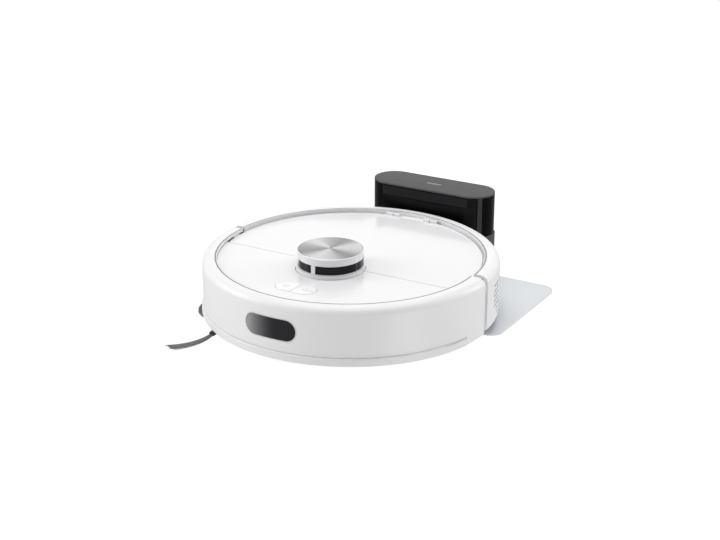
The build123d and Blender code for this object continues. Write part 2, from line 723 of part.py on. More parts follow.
def side_arm_points(r0, r1, w0, w1, steps):
    """Outline of a curved arm between two radii, widening outwards."""
    left, right = [], []
    for i in range(steps + 1):
        r = r0 + (r1 - r0) * i / steps
        bend = SIDE_BEND * (max(0, r - 15) / 64) ** 1.6
        heading = math.radians(SIDE_HEADING - bend)
        width = w0 + (w1 - w0) * i / steps
        cx, cy = r * math.cos(heading), r * math.sin(heading)
        nx, ny = -math.sin(heading), math.cos(heading)
        left.append((cx + nx * width / 2, cy + ny * width / 2))
        right.append((cx - nx * width / 2, cy - ny * width / 2))
    return left + right[::-1]


def side_brush_hub():
    """Hub, shaft and three stubby arm holders of the side brush."""
    hub = post(0, 0, 5.0, 11.6, 9.5)
    hub = chamfer(hub.edges().group_by(Axis.Z)[0], 1.5)
    hub = hub + post(0, 0, 11, 25, 3.0)
    outline = Polyline(*side_arm_points(6, 30, 9, 5, 6), close=True)
    stub = extrude(Pos(0, 0, 3.4) * make_face(outline), 4.4)
    for i in range(3):
        hub = hub + Rot(0, 0, 120 * i) * stub
    return Pos(SIDE_X, SIDE_Y, 0) * hub


def side_brush_bristles():
    """Three curved, widening tufts of the side brush."""
    outline = Polyline(*side_arm_points(30.4, SIDE_REACH, 3.2, 14, 10), close=True)
    tuft = extrude(Pos(0, 0, 1.6) * make_face(outline), 2.6)
    tufts = [Pos(SIDE_X, SIDE_Y, 0) * Rot(0, 0, 120 * i) * tuft for i in range(3)]
    return Compound(tufts)


# ---------------------------------------------------------------- dock and mat
def dock_base():
    """Matt lower half of the dock, a tray with contact slots and inlet opening."""
    flare = DOCK_FLARE
    outer = pill(DOCK_X, DOCK_Y, DOCK_L + flare, DOCK_W + flare, DOCK_FLOOR_Z, DOCK_SPLIT_Z)
    outer = chamfer(outer.edges().group_by(Axis.Z)[0], 1.0)
    outer = fillet(outer.edges().group_by(Axis.Z)[-1], 0.9)
    inner = pill(DOCK_X, DOCK_Y, DOCK_L + flare - 6, DOCK_W + flare - 6, DOCK_FLOOR_Z + 3, 60)
    base = outer - inner
    for side in (-1, 1):
        x = side * CONTACT_X
        base = base - block(x - 4.3, x + 4.3, 178, 186, CONTACT_Z - 4.8, CONTACT_Z + 4.8)
    base = base - block(INLET_X - 10.3, INLET_X + 10.3, 232, 240, INLET_Z - 7.3, INLET_Z + 7.3)
    for x, y in DOCK_SCREW_SPOTS:
        base = base - post(x, y, 0, 10, 1.7) - post(x, y, 0, DOCK_FLOOR_Z + 1.9, 3.3)
    return base


DOCK_SCREW_SPOTS = ((-55, 200), (55, 200), (-63, 214), (63, 214))


def dock_cover():
    """Glossy upper half of the dock."""
    outer = pill(DOCK_X, DOCK_Y, DOCK_L, DOCK_W, DOCK_SPLIT_Z + GAP, 101.6)
    inner = pill(DOCK_X, DOCK_Y, DOCK_L - 6, DOCK_W - 6, 40, 98.6)
    recess = pill(DOCK_X, DOCK_Y, DOCK_L + 4, DOCK_W + 4, 80, 110)
    recess = recess - pill(DOCK_X, DOCK_Y, DOCK_L - 3.6, DOCK_W - 3.6, 70, 120)
    return outer - inner - (recess & block(-IR_HALF - GAP, IR_HALF + GAP, 170, DOCK_Y, 87.7, 100.4))


def dock_ir_window():
    """Infra-red beacon window wrapped across the dock's upper front."""
    band = pill(DOCK_X, DOCK_Y, DOCK_L - 0.4, DOCK_W - 0.4, 88, 100.1)
    band = band - pill(DOCK_X, DOCK_Y, DOCK_L - 3, DOCK_W - 3, 70, 120)
    return band & block(-IR_HALF, IR_HALF, 170, DOCK_Y, 80, 110)


def dock_top_plate():
    """Matt top plate with a small lens opening."""
    plate = pill(DOCK_X, DOCK_Y, DOCK_L, DOCK_W, 101.9, DOCK_TOP_Z)
    plate = fillet(plate.edges().group_by(Axis.Z)[-1], 0.9)
    return plate - pill(DOCK_X, DOCK_Y, 22.6, 6.6, 90, 110)


def dock_status_lens():
    """Pill-shaped status light in the dock's top."""
    return pill(DOCK_X, DOCK_Y, 22, 6, 101.9, DOCK_TOP_Z - 0.2)


def dock_contact(side):
    """Sprung charging contact with a retaining flange inside the wall."""
    x = side * CONTACT_X
    tip = block(x - 4, x + 4, CONTACT_TIP_Y, 192, CONTACT_Z - 4.5, CONTACT_Z + 4.5)
    tip = fillet(tip.edges().filter_by(Axis.X).group_by(Axis.Y)[0], 3)
    return tip + block(x - 6, x + 6, 184.1, 186, CONTACT_Z - 6.5, CONTACT_Z + 6.5)


def dock_power_inlet():
    """Two-pin power inlet in the dock's back."""
    body = block(INLET_X - 10, INLET_X + 10, 222, 237.2, INLET_Z - 7, INLET_Z + 7)
    body = body - pill_front(INLET_X, INLET_Z, 16, 9, 225, 240)
    for side in (-1, 1):
        body = body + bar_y(INLET_X + side * 4.3, 224, 234.5, INLET_Z, 1.2)
    return body


def dock_power_board():
    """Charger board with transformer and capacitors."""
    board = block(-48, 26, 197, 230, 12, 13.6)
    board = board + block(-40, -10, 202, 226, 13, 36)
    for x in (0, 14):
        board = board + post(x, 214, 13, 32, 5)
    return board


def dock_feet():
    """Four rubber feet under the dock's rear."""
    spots = ((-56, 222), (-20, 226), (20, 226), (56, 222))
    return Compound([post(x, y, 0, DOCK_FLOOR_Z - GAP, 7) for x, y in spots])


def parking_mat():
    """Thin translucent floor mat tucked under the dock's front."""
    plate = block(-MAT_HALF_X, MAT_HALF_X, MAT_FRONT_Y, MAT_BACK_Y, 0, MAT_T)
    plate = fillet(plate.edges().filter_by(Axis.Z), 18)
    return chamfer(plate.edges().group_by(Axis.Z)[-1], 0.5)


PIECES = {
    "bumper_shell": bumper_shell,
    "bumper_strip": bumper_strip,
    "bumper_window": bumper_window,
    "bumper_window_trim": bumper_window_trim,
    "rear_side_shell": rear_side_shell,
    "charging_plates": charging_plates,
    "lower_housing": lower_housing,
    "chassis_wall": chassis_wall,
    "top_deck": top_deck,
    "front_cover": front_cover,
    "lid_panel": lid_panel,
    "lid_hinge_pin": lid_hinge_pin,
    "button_board": button_board,
    "status_led": status_led,
    "lidar_flange": lidar_flange,
    "lidar_housing": lidar_housing,
    "lidar_window": lidar_window,
    "lidar_top_disc": lidar_top_disc,
    "lidar_scanner": lidar_scanner,
    "lidar_pulley": lidar_pulley,
    "lidar_motor": lidar_motor,
    "lidar_belt": lidar_belt,
    "battery_pack": battery_pack,
    "battery_door": battery_door,
    "main_board": main_board,
    "fan_housing": fan_housing,
    "fan_impeller": fan_impeller,
    "side_brush_gearbox": side_brush_gearbox,
    "brush_housing": brush_housing,
    "brush_guard": brush_guard,
    "cliff_sensors": cliff_sensors,
    "housing_screws": housing_screws,
    "dustbin": dustbin,
    "dustbin_cover": dustbin_cover,
    "dust_filter": dust_filter,
    "caster_fork": caster_fork,
    "caster_wheel": caster_wheel,
    "main_brush_core": main_brush_core,
    "main_brush_bristles": main_brush_bristles,
    "side_brush_hub": side_brush_hub,
    "side_brush_bristles": side_brush_bristles,
    "dock_base": dock_base,
    "dock_cover": dock_cover,
    "dock_ir_window": dock_ir_window,
    "dock_top_plate": dock_top_plate,
    "dock_status_lens": dock_status_lens,
    "dock_power_inlet": dock_power_inlet,
    "dock_power_board": dock_power_board,
    "dock_feet": dock_feet,
    "parking_mat": parking_mat,
}

for piece_name, build in PIECES.items():
    save(piece_name, build())

for word, turn in (("left", 1), ("right", -1)):
    save("suspension_arm_" + word, suspension_arm(turn))
    save("wheel_hub_" + word, wheel_hub(turn))
    save("tyre_" + word, tyre(turn))
    save("dock_contact_" + word, dock_contact(turn))
save("button_power", button(-1))
save("button_home", button(1))
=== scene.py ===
"""Robot vacuum on its charging dock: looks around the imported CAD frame."""

import json
import math

import bmesh
import bpy
from mathutils import Matrix, Vector


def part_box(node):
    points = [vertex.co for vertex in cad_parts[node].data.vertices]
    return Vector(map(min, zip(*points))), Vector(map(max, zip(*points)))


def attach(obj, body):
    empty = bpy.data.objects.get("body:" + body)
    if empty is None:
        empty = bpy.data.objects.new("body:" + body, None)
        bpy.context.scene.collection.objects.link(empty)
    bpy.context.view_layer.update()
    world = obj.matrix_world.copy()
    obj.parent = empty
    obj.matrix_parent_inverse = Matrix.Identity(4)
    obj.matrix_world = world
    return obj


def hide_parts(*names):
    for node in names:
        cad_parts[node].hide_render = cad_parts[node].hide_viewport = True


bl_info = {
    "name": "Robot Vacuum Looks",
    "version": (1, 0, 0),
    "blender": (4, 5, 0),
    "location": "View3D > Sidebar > Robot Vacuum",
    "description": "Builds the finishes and fine pieces of a robot vacuum with its dock and mat",
    "category": "Object",
}

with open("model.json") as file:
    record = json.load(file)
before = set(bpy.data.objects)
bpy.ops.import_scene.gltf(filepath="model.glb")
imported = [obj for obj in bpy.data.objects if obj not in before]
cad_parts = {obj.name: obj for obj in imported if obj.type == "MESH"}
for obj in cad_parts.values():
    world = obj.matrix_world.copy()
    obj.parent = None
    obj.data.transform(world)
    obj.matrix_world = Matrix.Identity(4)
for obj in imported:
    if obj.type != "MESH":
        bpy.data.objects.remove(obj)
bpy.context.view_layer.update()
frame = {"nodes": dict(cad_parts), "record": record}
RECORD = frame["record"]
SLOT_OF = {row["node"]: row["material_slot"] for row in RECORD["subparts"]}
BODY_OF = {
    node: body for body, members in RECORD["behaviour"]["bodies"].items() for node in members
}
JOINT = {joint["name"]: joint for joint in RECORD["behaviour"]["joints"]}
MM = 0.001
RIB_DEPTH = 1.2 * MM
# Painted shade: width of the grey strip laid where the gap at the rim's inner edge falls in shade.
RIM_SHADE_STRIP_WIDTH = 2.3 * MM
BUMPER_RIM_OFFSET = Vector((0.0, -3.9 * MM, 0.0))
FLOOR_DROP = 0.4 * MM
VIEW_AIM_HEIGHT = 40 * MM
VIEW_RIGHT = 10.5 * MM
VIEW_UP = 13.8 * MM


def middle(node):
    """Centre of a CAD node's box."""
    low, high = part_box(node)
    return (low + high) / 2


def half_width(node):
    """Half the extent of a CAD node along X."""
    low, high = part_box(node)
    return (high.x - low.x) / 2


TURRET = middle("lidar_top_disc")
ROBOT_AXIS = Vector((0.0, middle("top_deck").y, 0.0))
BODY_RADIUS = ROBOT_AXIS.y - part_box("bumper_shell")[0].y


# ------------------------------------------------------------ settings
def number_property(name, description, default, **more):
    """A number setting."""
    return bpy.props.FloatProperty(name=name, description=description, default=default, **more)


def count_property(name, description, default, **more):
    """A whole number setting."""
    return bpy.props.IntProperty(name=name, description=description, default=default, **more)


class RobotVacuumSizes(bpy.types.PropertyGroup):
    side_filaments: count_property(
        "Side Brush Filaments", "Filaments in each arm of the side brush", 46, min=6)
    side_filament_radius: number_property(
        "Side Filament Radius", "Radius of one side brush filament",
        0.3 * MM, unit="LENGTH", precision=5)
    roller_bristles: count_property(
        "Roller Bristles", "Bristles in each row of the main roller", 230, min=10)
    roller_rows: count_property(
        "Roller Rows", "Bristle rows round the main roller", 5, min=1)
    disc_grooves: count_property(
        "Disc Grooves", "Turned grooves in the turret's metal disc", 44, min=4)
    side_heading: number_property(
        "Side Heading", "Direction of the side brush's first arm at its root",
        math.radians(284), subtype="ANGLE")
    side_bend: number_property(
        "Side Bend", "How far each side brush arm sweeps back at its tip",
        math.radians(27), subtype="ANGLE")
    icon_height: number_property(
        "Icon Height", "Height of the symbols printed on the keys",
        7.0 * MM, unit="LENGTH", precision=5)


def colour_property(name, description, default):
    """A linear colour setting."""
    return bpy.props.FloatVectorProperty(
        name=name, description=description, default=default, size=3, subtype="COLOR",
        min=0.0, max=1.0)


class RobotVacuumColours(bpy.types.PropertyGroup):
    white_gloss: colour_property("Gloss White", "Polished covers and turret", (0.775, 0.775, 0.785))
    white_satin: colour_property("Satin White", "Bumper and side shell", (0.80, 0.80, 0.81))
    strip_white: colour_property("Strip White", "Soft bumper strip", (0.78, 0.78, 0.79))
    key_white: colour_property("Key White", "Key pad", (0.82, 0.82, 0.83))
    print_grey: colour_property("Print Grey", "Symbols printed on the keys", (0.42, 0.43, 0.45))
    # Painted shade: grey of the strip along the rim's inner edge, standing in for the shaded gap
    # there.
    gap_shade_grey: colour_property("Gap Shade Grey", "Seal along the rim", (0.25, 0.25, 0.26))
    trim_grey: colour_property("Trim Grey", "Sensor window's rim", (0.72, 0.73, 0.74))
    spun_metal: colour_property("Spun Metal", "Turret's metal disc", (0.56, 0.56, 0.57))
    window_black: colour_property("Window Black", "Dark sensor windows", (0.012, 0.012, 0.014))
    # Painted reflection: the light grey the bumper lens turns to towards its -X end, in place of a
    # light mirrored in it.
    lens_painted_reflection: colour_property("Lens Fade", "Clear end of the bumper lens", (0.40, 0.40, 0.41))
    dock_gloss: colour_property("Dock Gloss", "Dock's polished upper half", (0.001, 0.001, 0.0012))
    dock_matt: colour_property("Dock Matt", "Dock's grained base and top", (0.060, 0.060, 0.062))
    inner_grey: colour_property("Inner Grey", "Inner mouldings", (0.20, 0.205, 0.21))
    chassis_white: colour_property("Chassis White", "Floor plate", (0.62, 0.62, 0.63))
    rubber: colour_property("Rubber", "Tyres and feet", (0.022, 0.022, 0.023))
    bristle: colour_property("Bristle", "Brush filaments", (0.17, 0.17, 0.175))
    mat_tint: colour_property("Mat Tint", "Frosted floor mat", (0.655, 0.68, 0.705))
    board: colour_property("Board", "Circuit boards", (0.02, 0.12, 0.05))
    wrap: colour_property("Cell Wrap", "Battery wrap", (0.03, 0.10, 0.30))
    gold: colour_property("Contact Plating", "Charging contacts", (0.72, 0.60, 0.34))
    steel: colour_property("Steel", "Pins, screws and motor cans", (0.52, 0.52, 0.53))
    smoke: colour_property("Smoked Bin", "Dust bin", (0.10, 0.105, 0.11))
    filter_paper: colour_property("Filter Paper", "Pleated filter", (0.74, 0.72, 0.66))
    lens_white: colour_property("Lens White", "Status light beside the keys", (0.80, 0.82, 0.84))
    lens_smoke: colour_property("Lens Smoke", "Dock's status light", (0.10, 0.10, 0.105))


class RobotVacuumStage(bpy.types.PropertyGroup):
    floor_size: number_property(
        "Floor Size", "Edge length of the floor", 24.0, unit="LENGTH")
    world_strength: number_property(
        "World Strength", "Brightness of the even surroundings", 0.36)
    floor_glow: number_property(
        "Floor Glow", "Light given off by the white floor", 0.94)
    top_power: number_property(
        "Top Light", "Power of the overhead soft light", 31.0)
    left_power: number_property(
        "Left Light", "Power of the left soft light", 21.0)
    right_power: number_property(
        "Right Strip", "Power of the narrow light on the right", 9.0)
    rear_power: number_property(
        "Rear Light", "Power of the low rear soft light", 9.0)
    card_glow: number_property(
        "Card Glow", "Brightness of the card mirrored in the dock", 3.5)
    lens: number_property(
        "Lens", "Focal length of the camera", 71.6)
    azimuth: number_property(
        "Azimuth", "Camera's angle round the robot's nose", math.radians(30.4), subtype="ANGLE")
    elevation: number_property(
        "Elevation", "Camera's angle above the floor", math.radians(21.3), subtype="ANGLE")
    distance: number_property(
        "Distance", "Camera's distance", 1.7, unit="LENGTH")


# ------------------------------------------------------------ node helpers
class Wire:
    """A node output. Python's operators on it add Math nodes."""

    def __init__(self, tree, socket):
        self.tree = tree
        self.socket = socket

    def _math(self, operation, *values):
        node = self.tree.nodes.new("ShaderNodeMath")
        node.operation = operation
        for socket, value in zip(node.inputs, values):
            feed(self.tree, socket, value)
        return Wire(self.tree, node.outputs[0])

    def __neg__(self):
        return self._math("MULTIPLY", self, -1.0)

    def __gt__(self, other):
        return self._math("GREATER_THAN", self, other)

    def __abs__(self):
        return self._math("ABSOLUTE", self)

    def floor(self):
        return self._math("FLOOR", self)

    def sin(self):
        return self._math("SINE", self)

    def cos(self):
        return self._math("COSINE", self)

    def bearing(self, across):
        """Angle of a point whose coordinates are this wire and another."""
        return self._math("ARCTAN2", self, across)

    def clamped(self):
        wire = self._math("ADD", self, 0.0)
        wire.socket.node.use_clamp = True
        return wire

    def clamped_power(self, exponent):
        """Power of a value held at or above zero."""
        return self._math("POWER", self._math("MAXIMUM", self, 0.0), exponent)


def math_method(operation, swapped=False):
    """Method of a wire that adds one Math node with two inputs."""
    def method(self, other):
        return self._math(operation, *((other, self) if swapped else (self, other)))
    return method


for sign, sum_kind in (
        ("add", "ADD"), ("sub", "SUBTRACT"), ("mul", "MULTIPLY"), ("truediv", "DIVIDE"),
        ("pow", "POWER"), ("mod", "FLOORED_MODULO"), ("gt", "GREATER_THAN")):
    setattr(Wire, f"__{sign}__", math_method(sum_kind))
    if sign in ("add", "sub", "mul"):
        setattr(Wire, f"__r{sign}__", math_method(sum_kind, swapped=True))


def feed(tree, socket, value):
    """Link a wire to a socket, or set the socket's own value."""
    if isinstance(value, Wire):
        tree.links.new(value.socket, socket)
    elif value is not None:
        socket.default_value = value


class Nodes:
    """Adds nodes to one tree; every node other than Math comes from add()."""

    def __init__(self, tree):
        self.tree = tree

    def add(self, kind, settings=None, inputs=None, output=0):
        node = self.tree.nodes.new(kind)
        for name, value in (settings or {}).items():
            setattr(node, name, value)
        for name, value in (inputs or {}).items():
            feed(self.tree, node.inputs[name], value)
        return Wire(self.tree, node.outputs[output])

    def vector(self, **parts):
        """Vector from its named X, Y and Z parts."""
        return self.add("ShaderNodeCombineXYZ", None, parts)

    def shifted(self, vector, by):
        """Vector moved by another."""
        return self.add("ShaderNodeVectorMath", {"operation": "ADD"}, {0: vector, 1: by})

    def scatter(self, low, high, number, seed):
        """Random value between two limits, one for each number."""
        return self.add(
            "FunctionNodeRandomValue", {"data_type": "FLOAT"},
            {2: low, 3: high, "ID": number, "Seed": seed}, output=1)

    def points(self, count):
        """A number of points, all at the origin."""
        return self.add("GeometryNodeMeshLine", None, {"Count": count, "Offset": (0, 0, 0)})

    def moved(self, geometry, place):
        return self.add("GeometryNodeSetPosition", None, {"Geometry": geometry, "Position": place})

    def copies(self, points, instance, rotation=None):
        return self.add(
            "GeometryNodeInstanceOnPoints", None,
            {"Points": points, "Instance": instance, "Rotation": rotation})

    def swept(self, curve, radius, sides):
        """Closed round bar along a curve."""
        section = self.add(
            "GeometryNodeCurvePrimitiveCircle", None, {"Resolution": sides, "Radius": radius})
        return self.add(
            "GeometryNodeCurveToMesh", None,
            {"Curve": curve, "Profile Curve": section, "Fill Caps": True})


class Finish(Nodes):
    """A procedural material with one Principled shader."""

    def __init__(self, name, **constants):
        self.material = bpy.data.materials.new(name)
        self.material.use_nodes = True
        super().__init__(self.material.node_tree)
        self.tree.nodes.clear()
        self.shader = self.tree.nodes.new("ShaderNodeBsdfPrincipled")
        self.output = self.tree.nodes.new("ShaderNodeOutputMaterial")
        self.tree.links.new(self.shader.outputs[0], self.output.inputs["Surface"])
        self.set(**constants)

    def set(self, **inputs):
        for name, value in inputs.items():
            feed(self.tree, self.shader.inputs[name.replace("_", " ")], value)
        return self

    def place(self):
        return self.add("ShaderNodeTexCoord", output="Object")

    def noise(self, scale, detail=2.0, roughness=0.5, vector=None):
        return self.add(
            "ShaderNodeTexNoise", None,
            {"Vector": vector or self.place(), "Scale": scale, "Detail": detail,
             "Roughness": roughness}, output="Fac")

    def axis(self, letter, centre=None):
        vector = self.place()
        if centre is not None:
            vector = self.add(
                "ShaderNodeVectorMath", {"operation": "SUBTRACT"}, {0: vector, 1: tuple(centre)})
        return self.add("ShaderNodeSeparateXYZ", None, {"Vector": vector}, output=letter)

    def mixed(self, factor, first, second):
        """Blend two colours by a factor."""
        return self.add(
            "ShaderNodeMix", {"data_type": "RGBA"},
            {"Factor": factor, 6: first, 7: second}, output=2)

    def bump(self, height, distance, strength=1.0):
        normal = self.add(
            "ShaderNodeBump", None,
            {"Height": height, "Distance": distance, "Strength": strength}, output="Normal")
        return self.set(Normal=normal)


def rgba(colour, gain=1.0):
    """A setting's colour as four numbers, brightened or dimmed."""
    return tuple(min(1.0, c * gain) for c in colour) + (1.0,)


FINISHES = {}  # materials by the name of their finish


def moulded(name, colour, roughness, grain_scale, grain_depth, coat=0.0, drift=0.03, spread=0.05):
    """Moulded plastic: a slow drift of tone, fine grain and uneven gloss."""
    finish = Finish(name, Coat_Weight=coat, Coat_Roughness=0.05, Specular_IOR_Level=0.5)
    tone = finish.noise(22.0, 3.0)
    fine = finish.noise(grain_scale, 3.0, 0.6)
    finish.set(Base_Color=finish.mixed(tone, rgba(colour, 1.0 - drift), rgba(colour, 1.0 + drift)))
    finish.set(Roughness=(finish.noise(65.0, 4.0) - 0.5) * (2.0 * spread) + roughness)
    finish.bump(fine, grain_depth)
    FINISHES[name] = finish.material
    return finish


def metal(name, colour, roughness):
    """Plain metal with a faint grain and uneven gloss."""
    finish = Finish(name, Metallic=1.0)
    lines = finish.noise(900.0, 2.0, 0.5)
    tone = finish.noise(120.0, 3.0)
    finish.set(Base_Color=finish.mixed(tone, rgba(colour, 0.9), rgba(colour, 1.08)))
    finish.set(Roughness=(tone - 0.5) * 0.16 + roughness)
    finish.bump(lines, 0.00002)
    FINISHES[name] = finish.material


def spun_disc(name, colour, centre):
    """Turned metal: fine rings, and three broad wedges of painted highlight, brighter and darker base
    colour by angle.
    """
    finish = Finish(name, Metallic=1.0, Anisotropic=0.5)
    across = finish.axis("X", centre)
    along = finish.axis("Y", centre)
    turn = along.bearing(across)
    radius = (across * across + along * along) ** 0.5
    # Painted highlight: the angle where the brightest of the three painted wedges lies.
    lead = math.radians(38)
    # Painted highlight: the base colour swings between dark and bright wedges by angle round the
    # disc, in place of the sheen of the lights.
    painted_highlight_fans = ((turn - lead) * 3.0).cos() * 0.42 + (turn * 7.0 + 1.0).sin() * 0.07 + 0.5
    rings = finish.add(
        "ShaderNodeTexNoise", {"noise_dimensions": "1D"},
        {"W": radius * 5200.0, "Scale": 1.0, "Detail": 3.0}, output="Fac")
    finish.set(Base_Color=finish.mixed(
        (painted_highlight_fans + (rings - 0.5) * 0.35).clamped(), rgba(colour, 0.52), rgba(colour, 1.38)))
    finish.set(Roughness=(rings - 0.5) * 0.2 + 0.3)
    finish.bump(rings, 0.000012)
    FINISHES[name] = finish.material


# ------------------------------------------------------------ mesh helpers
def colours():
    return bpy.context.scene.robot_vacuum_colours


def sizes():
    return bpy.context.scene.robot_vacuum_sizes


def linked(name, mesh):
    """A new object for a mesh, at the origin."""
    made = bpy.data.objects.new(name, mesh)
    bpy.context.scene.collection.objects.link(made)
    return made


def finish_mesh(mesh, angle=32.0):
    """Smooth shading that breaks at real edges."""
    mesh.polygons.foreach_set("use_smooth", [True] * len(mesh.polygons))
    mesh.set_sharp_from_angle(angle=math.radians(angle))
    mesh.update()


def mesh_from(form, name):
    """A mesh made from a bmesh, which is freed."""
    mesh = bpy.data.meshes.new(name)
    form.to_mesh(mesh)
    form.free()
    return mesh


def settle(piece, body, slot, finish, *nodes):
    """Give a piece its finish and body, and hide the CAD nodes it stands for; the slot is not used.
    """
    if finish is not None:
        piece.data.materials.clear()
        piece.data.materials.append(FINISHES[finish])
    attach(piece, body)
    if nodes:
        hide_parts(*nodes)
    return piece


def refine(node, name, finish, edge, segments=2):
    """A welded, smoothly shaded copy of a CAD node, its edges rounded by some millimetres."""
    mesh = frame["nodes"][node].data.copy()
    mesh.name = name
    form = bmesh.new()
    form.from_mesh(mesh)
    bmesh.ops.remove_doubles(form, verts=form.verts, dist=0.000002)
    bmesh.ops.dissolve_limit(
        form, angle_limit=math.radians(0.4), verts=form.verts, edges=form.edges)
    form.to_mesh(mesh)
    form.free()
    for layer in [a.name for a in mesh.attributes if a.name == "custom_normal"]:
        mesh.attributes.remove(mesh.attributes[layer])
    mesh.materials.clear()
    mesh.materials.append(FINISHES[finish])
    finish_mesh(mesh)
    piece = linked(name, mesh)
    if edge > 0:
        bevel = piece.modifiers.new("edge", "BEVEL")
        bevel.width = edge * MM
        bevel.segments = segments
        bevel.limit_method = "ANGLE"
        bevel.angle_limit = math.radians(35)
        bevel.use_clamp_overlap = True
        bevel.harden_normals = True
    return settle(piece, BODY_OF[node], SLOT_OF[node], None, node)


def paint(node, finish):
    """Assign a finish to a CAD node that stays as it is."""
    mesh = frame["nodes"][node].data
    if not mesh.materials:
        mesh.materials.append(None)
    for index in range(len(mesh.materials)):
        mesh.materials[index] = FINISHES[finish]


def tube_mesh(name, points, radius):
    """A round bar swept along points, as a mesh."""
    curve = bpy.data.curves.new(name, "CURVE")
    curve.dimensions = "3D"
    curve.bevel_depth = radius
    curve.bevel_resolution = 2
    curve.use_fill_caps = True
    spline = curve.splines.new("POLY")
    spline.points.add(len(points) - 1)
    for target, point in zip(spline.points, points):
        target.co = (*point, 1.0)
    holder = bpy.data.objects.new(name, curve)
    bpy.context.scene.collection.objects.link(holder)
    depsgraph = bpy.context.evaluated_depsgraph_get()
    mesh = bpy.data.meshes.new_from_object(holder.evaluated_get(depsgraph))
    bpy.data.objects.remove(holder)
    mesh.name = name
    finish_mesh(mesh)
    return mesh


def lathe(name, outline, centre, steps):
    """A solid of revolution from (radius, height) points, closed at its upright axis."""
    form = bmesh.new()
    rings = []
    for radius, height in outline:
        if radius <= 0:
            rings.append([form.verts.new((centre.x, centre.y, height))])
            continue
        ring = []
        for step in range(steps):
            turn = 2 * math.pi * step / steps
            ring.append(form.verts.new(
                (centre.x + radius * math.cos(turn), centre.y + radius * math.sin(turn), height)))
        rings.append(ring)
    for lower, upper in zip(rings, rings[1:]):
        for step in range(steps):
            after = (step + 1) % steps
            if len(lower) == 1:
                form.faces.new((lower[0], upper[after], upper[step]))
            elif len(upper) == 1:
                form.faces.new((lower[step], lower[after], upper[0]))
            else:
                form.faces.new((lower[step], lower[after], upper[after], upper[step]))
    bmesh.ops.recalc_face_normals(form, faces=form.faces)
    mesh = mesh_from(form, name)
    finish_mesh(mesh, 40.0)
    return mesh


def grown(name, tree, values, finish):
    """Run a Geometry Nodes tree on an empty object and keep its result as a plain mesh."""
    holder = linked(name + "_seed", bpy.data.meshes.new(name + "_seed"))
    modifier = holder.modifiers.new("grow", "NODES")
    modifier.node_group = tree
    for item in tree.interface.items_tree:
        if item.item_type == "SOCKET" and item.in_out == "INPUT" and item.name in values:
            modifier[item.identifier] = values[item.name]
    depsgraph = bpy.context.evaluated_depsgraph_get()
    mesh = bpy.data.meshes.new_from_object(holder.evaluated_get(depsgraph))
    holder.modifiers.clear()
    seed = holder.data
    bpy.data.objects.remove(holder)
    bpy.data.meshes.remove(seed)
    mesh.name = name
    mesh.materials.clear()
    mesh.materials.append(FINISHES[finish])
    finish_mesh(mesh, 50.0)
    return linked(name, mesh)


def node_tree(name, **inputs):
    """A new Geometry Nodes tree; inputs are labels by socket kind. Gives tree, maker and wires."""
    tree = bpy.data.node_groups.new(name, "GeometryNodeTree")
    tree.interface.new_socket("Geometry", in_out="OUTPUT", socket_type="NodeSocketGeometry")
    for kind, labels in inputs.items():
        for label in labels.split(", "):
            tree.interface.new_socket(label, in_out="INPUT", socket_type="NodeSocket" + kind)
    entry = tree.nodes.new("NodeGroupInput")
    wires = {socket.name: Wire(tree, socket) for socket in entry.outputs if socket.name}
    return tree, Nodes(tree), wires


def close_tree(tree, nodes, geometry, finish):
    """End a tree in Realize Instances and Set Material."""
    real = nodes.add("GeometryNodeRealizeInstances", None, {"Geometry": geometry})
    done = nodes.add(
        "GeometryNodeSetMaterial", None, {"Geometry": real, "Material": FINISHES[finish]})
    leave = tree.nodes.new("NodeGroupOutput")
    tree.links.new(done.socket, leave.inputs[0])


def side_tuft_tree(finish):
    """Filaments of one side brush arm: they follow the arm's sweep and fan out to the tip."""
    tree, nodes, given = node_tree(
        "side_tuft", Int="Count", Vector="Hub",
        Float="Root, Tip, Heading, Bend, Bend Start, Bend Span, Root Width, Tip Width, "
              "Root Height, Tip Height, Thickness")
    line = nodes.points(given["Count"])
    strand = nodes.add("GeometryNodeCurvePrimitiveLine", None, {"End": (1.0, 0.0, 0.0)})
    strand = nodes.add("GeometryNodeResampleCurve", None, {"Curve": strand, "Count": 11})
    number = nodes.add("GeometryNodeInputIndex")
    share = number / (given["Count"] - 1.0) - 0.5
    stray = nodes.scatter(-0.5, 0.5, number, 7)
    lift = nodes.scatter(-0.5, 0.5, number, 11)
    reach = nodes.scatter(0.955, 1.0, number, 23)
    placed = nodes.copies(line, strand)
    for label, value in (("share", share + stray * 0.05), ("lift", lift), ("reach", reach)):
        placed = nodes.add(
            "GeometryNodeStoreNamedAttribute", {"data_type": "FLOAT", "domain": "INSTANCE"},
            {"Geometry": placed, "Name": label, "Value": value})
    real = nodes.add("GeometryNodeRealizeInstances", None, {"Geometry": placed})

    def stored(label):
        return nodes.add("GeometryNodeInputNamedAttribute", {"data_type": "FLOAT"}, {"Name": label})

    along = nodes.add("GeometryNodeSplineParameter")
    radius = given["Root"] + (given["Tip"] * stored("reach") - given["Root"]) * along
    sweep = given["Bend"] * ((radius - given["Bend Start"]) / given["Bend Span"]).clamped_power(1.6)
    heading = given["Heading"] - sweep
    width = given["Root Width"] + (given["Tip Width"] - given["Root Width"]) * along
    side = stored("share") * width
    x = radius * heading.cos() - side * heading.sin()
    y = radius * heading.sin() + side * heading.cos()
    z = given["Root Height"] + (given["Tip Height"] - given["Root Height"]) * along
    z = z + stored("lift") * (0.0014 + 0.0008 * along)
    moved = nodes.moved(real, nodes.shifted(nodes.vector(X=x, Y=y, Z=z), given["Hub"]))
    moved = nodes.add(
        "GeometryNodeSetCurveRadius", None, {"Curve": moved, "Radius": 1.0 - 0.3 * along})
    close_tree(tree, nodes, nodes.swept(moved, given["Thickness"], 5), finish)
    return tree


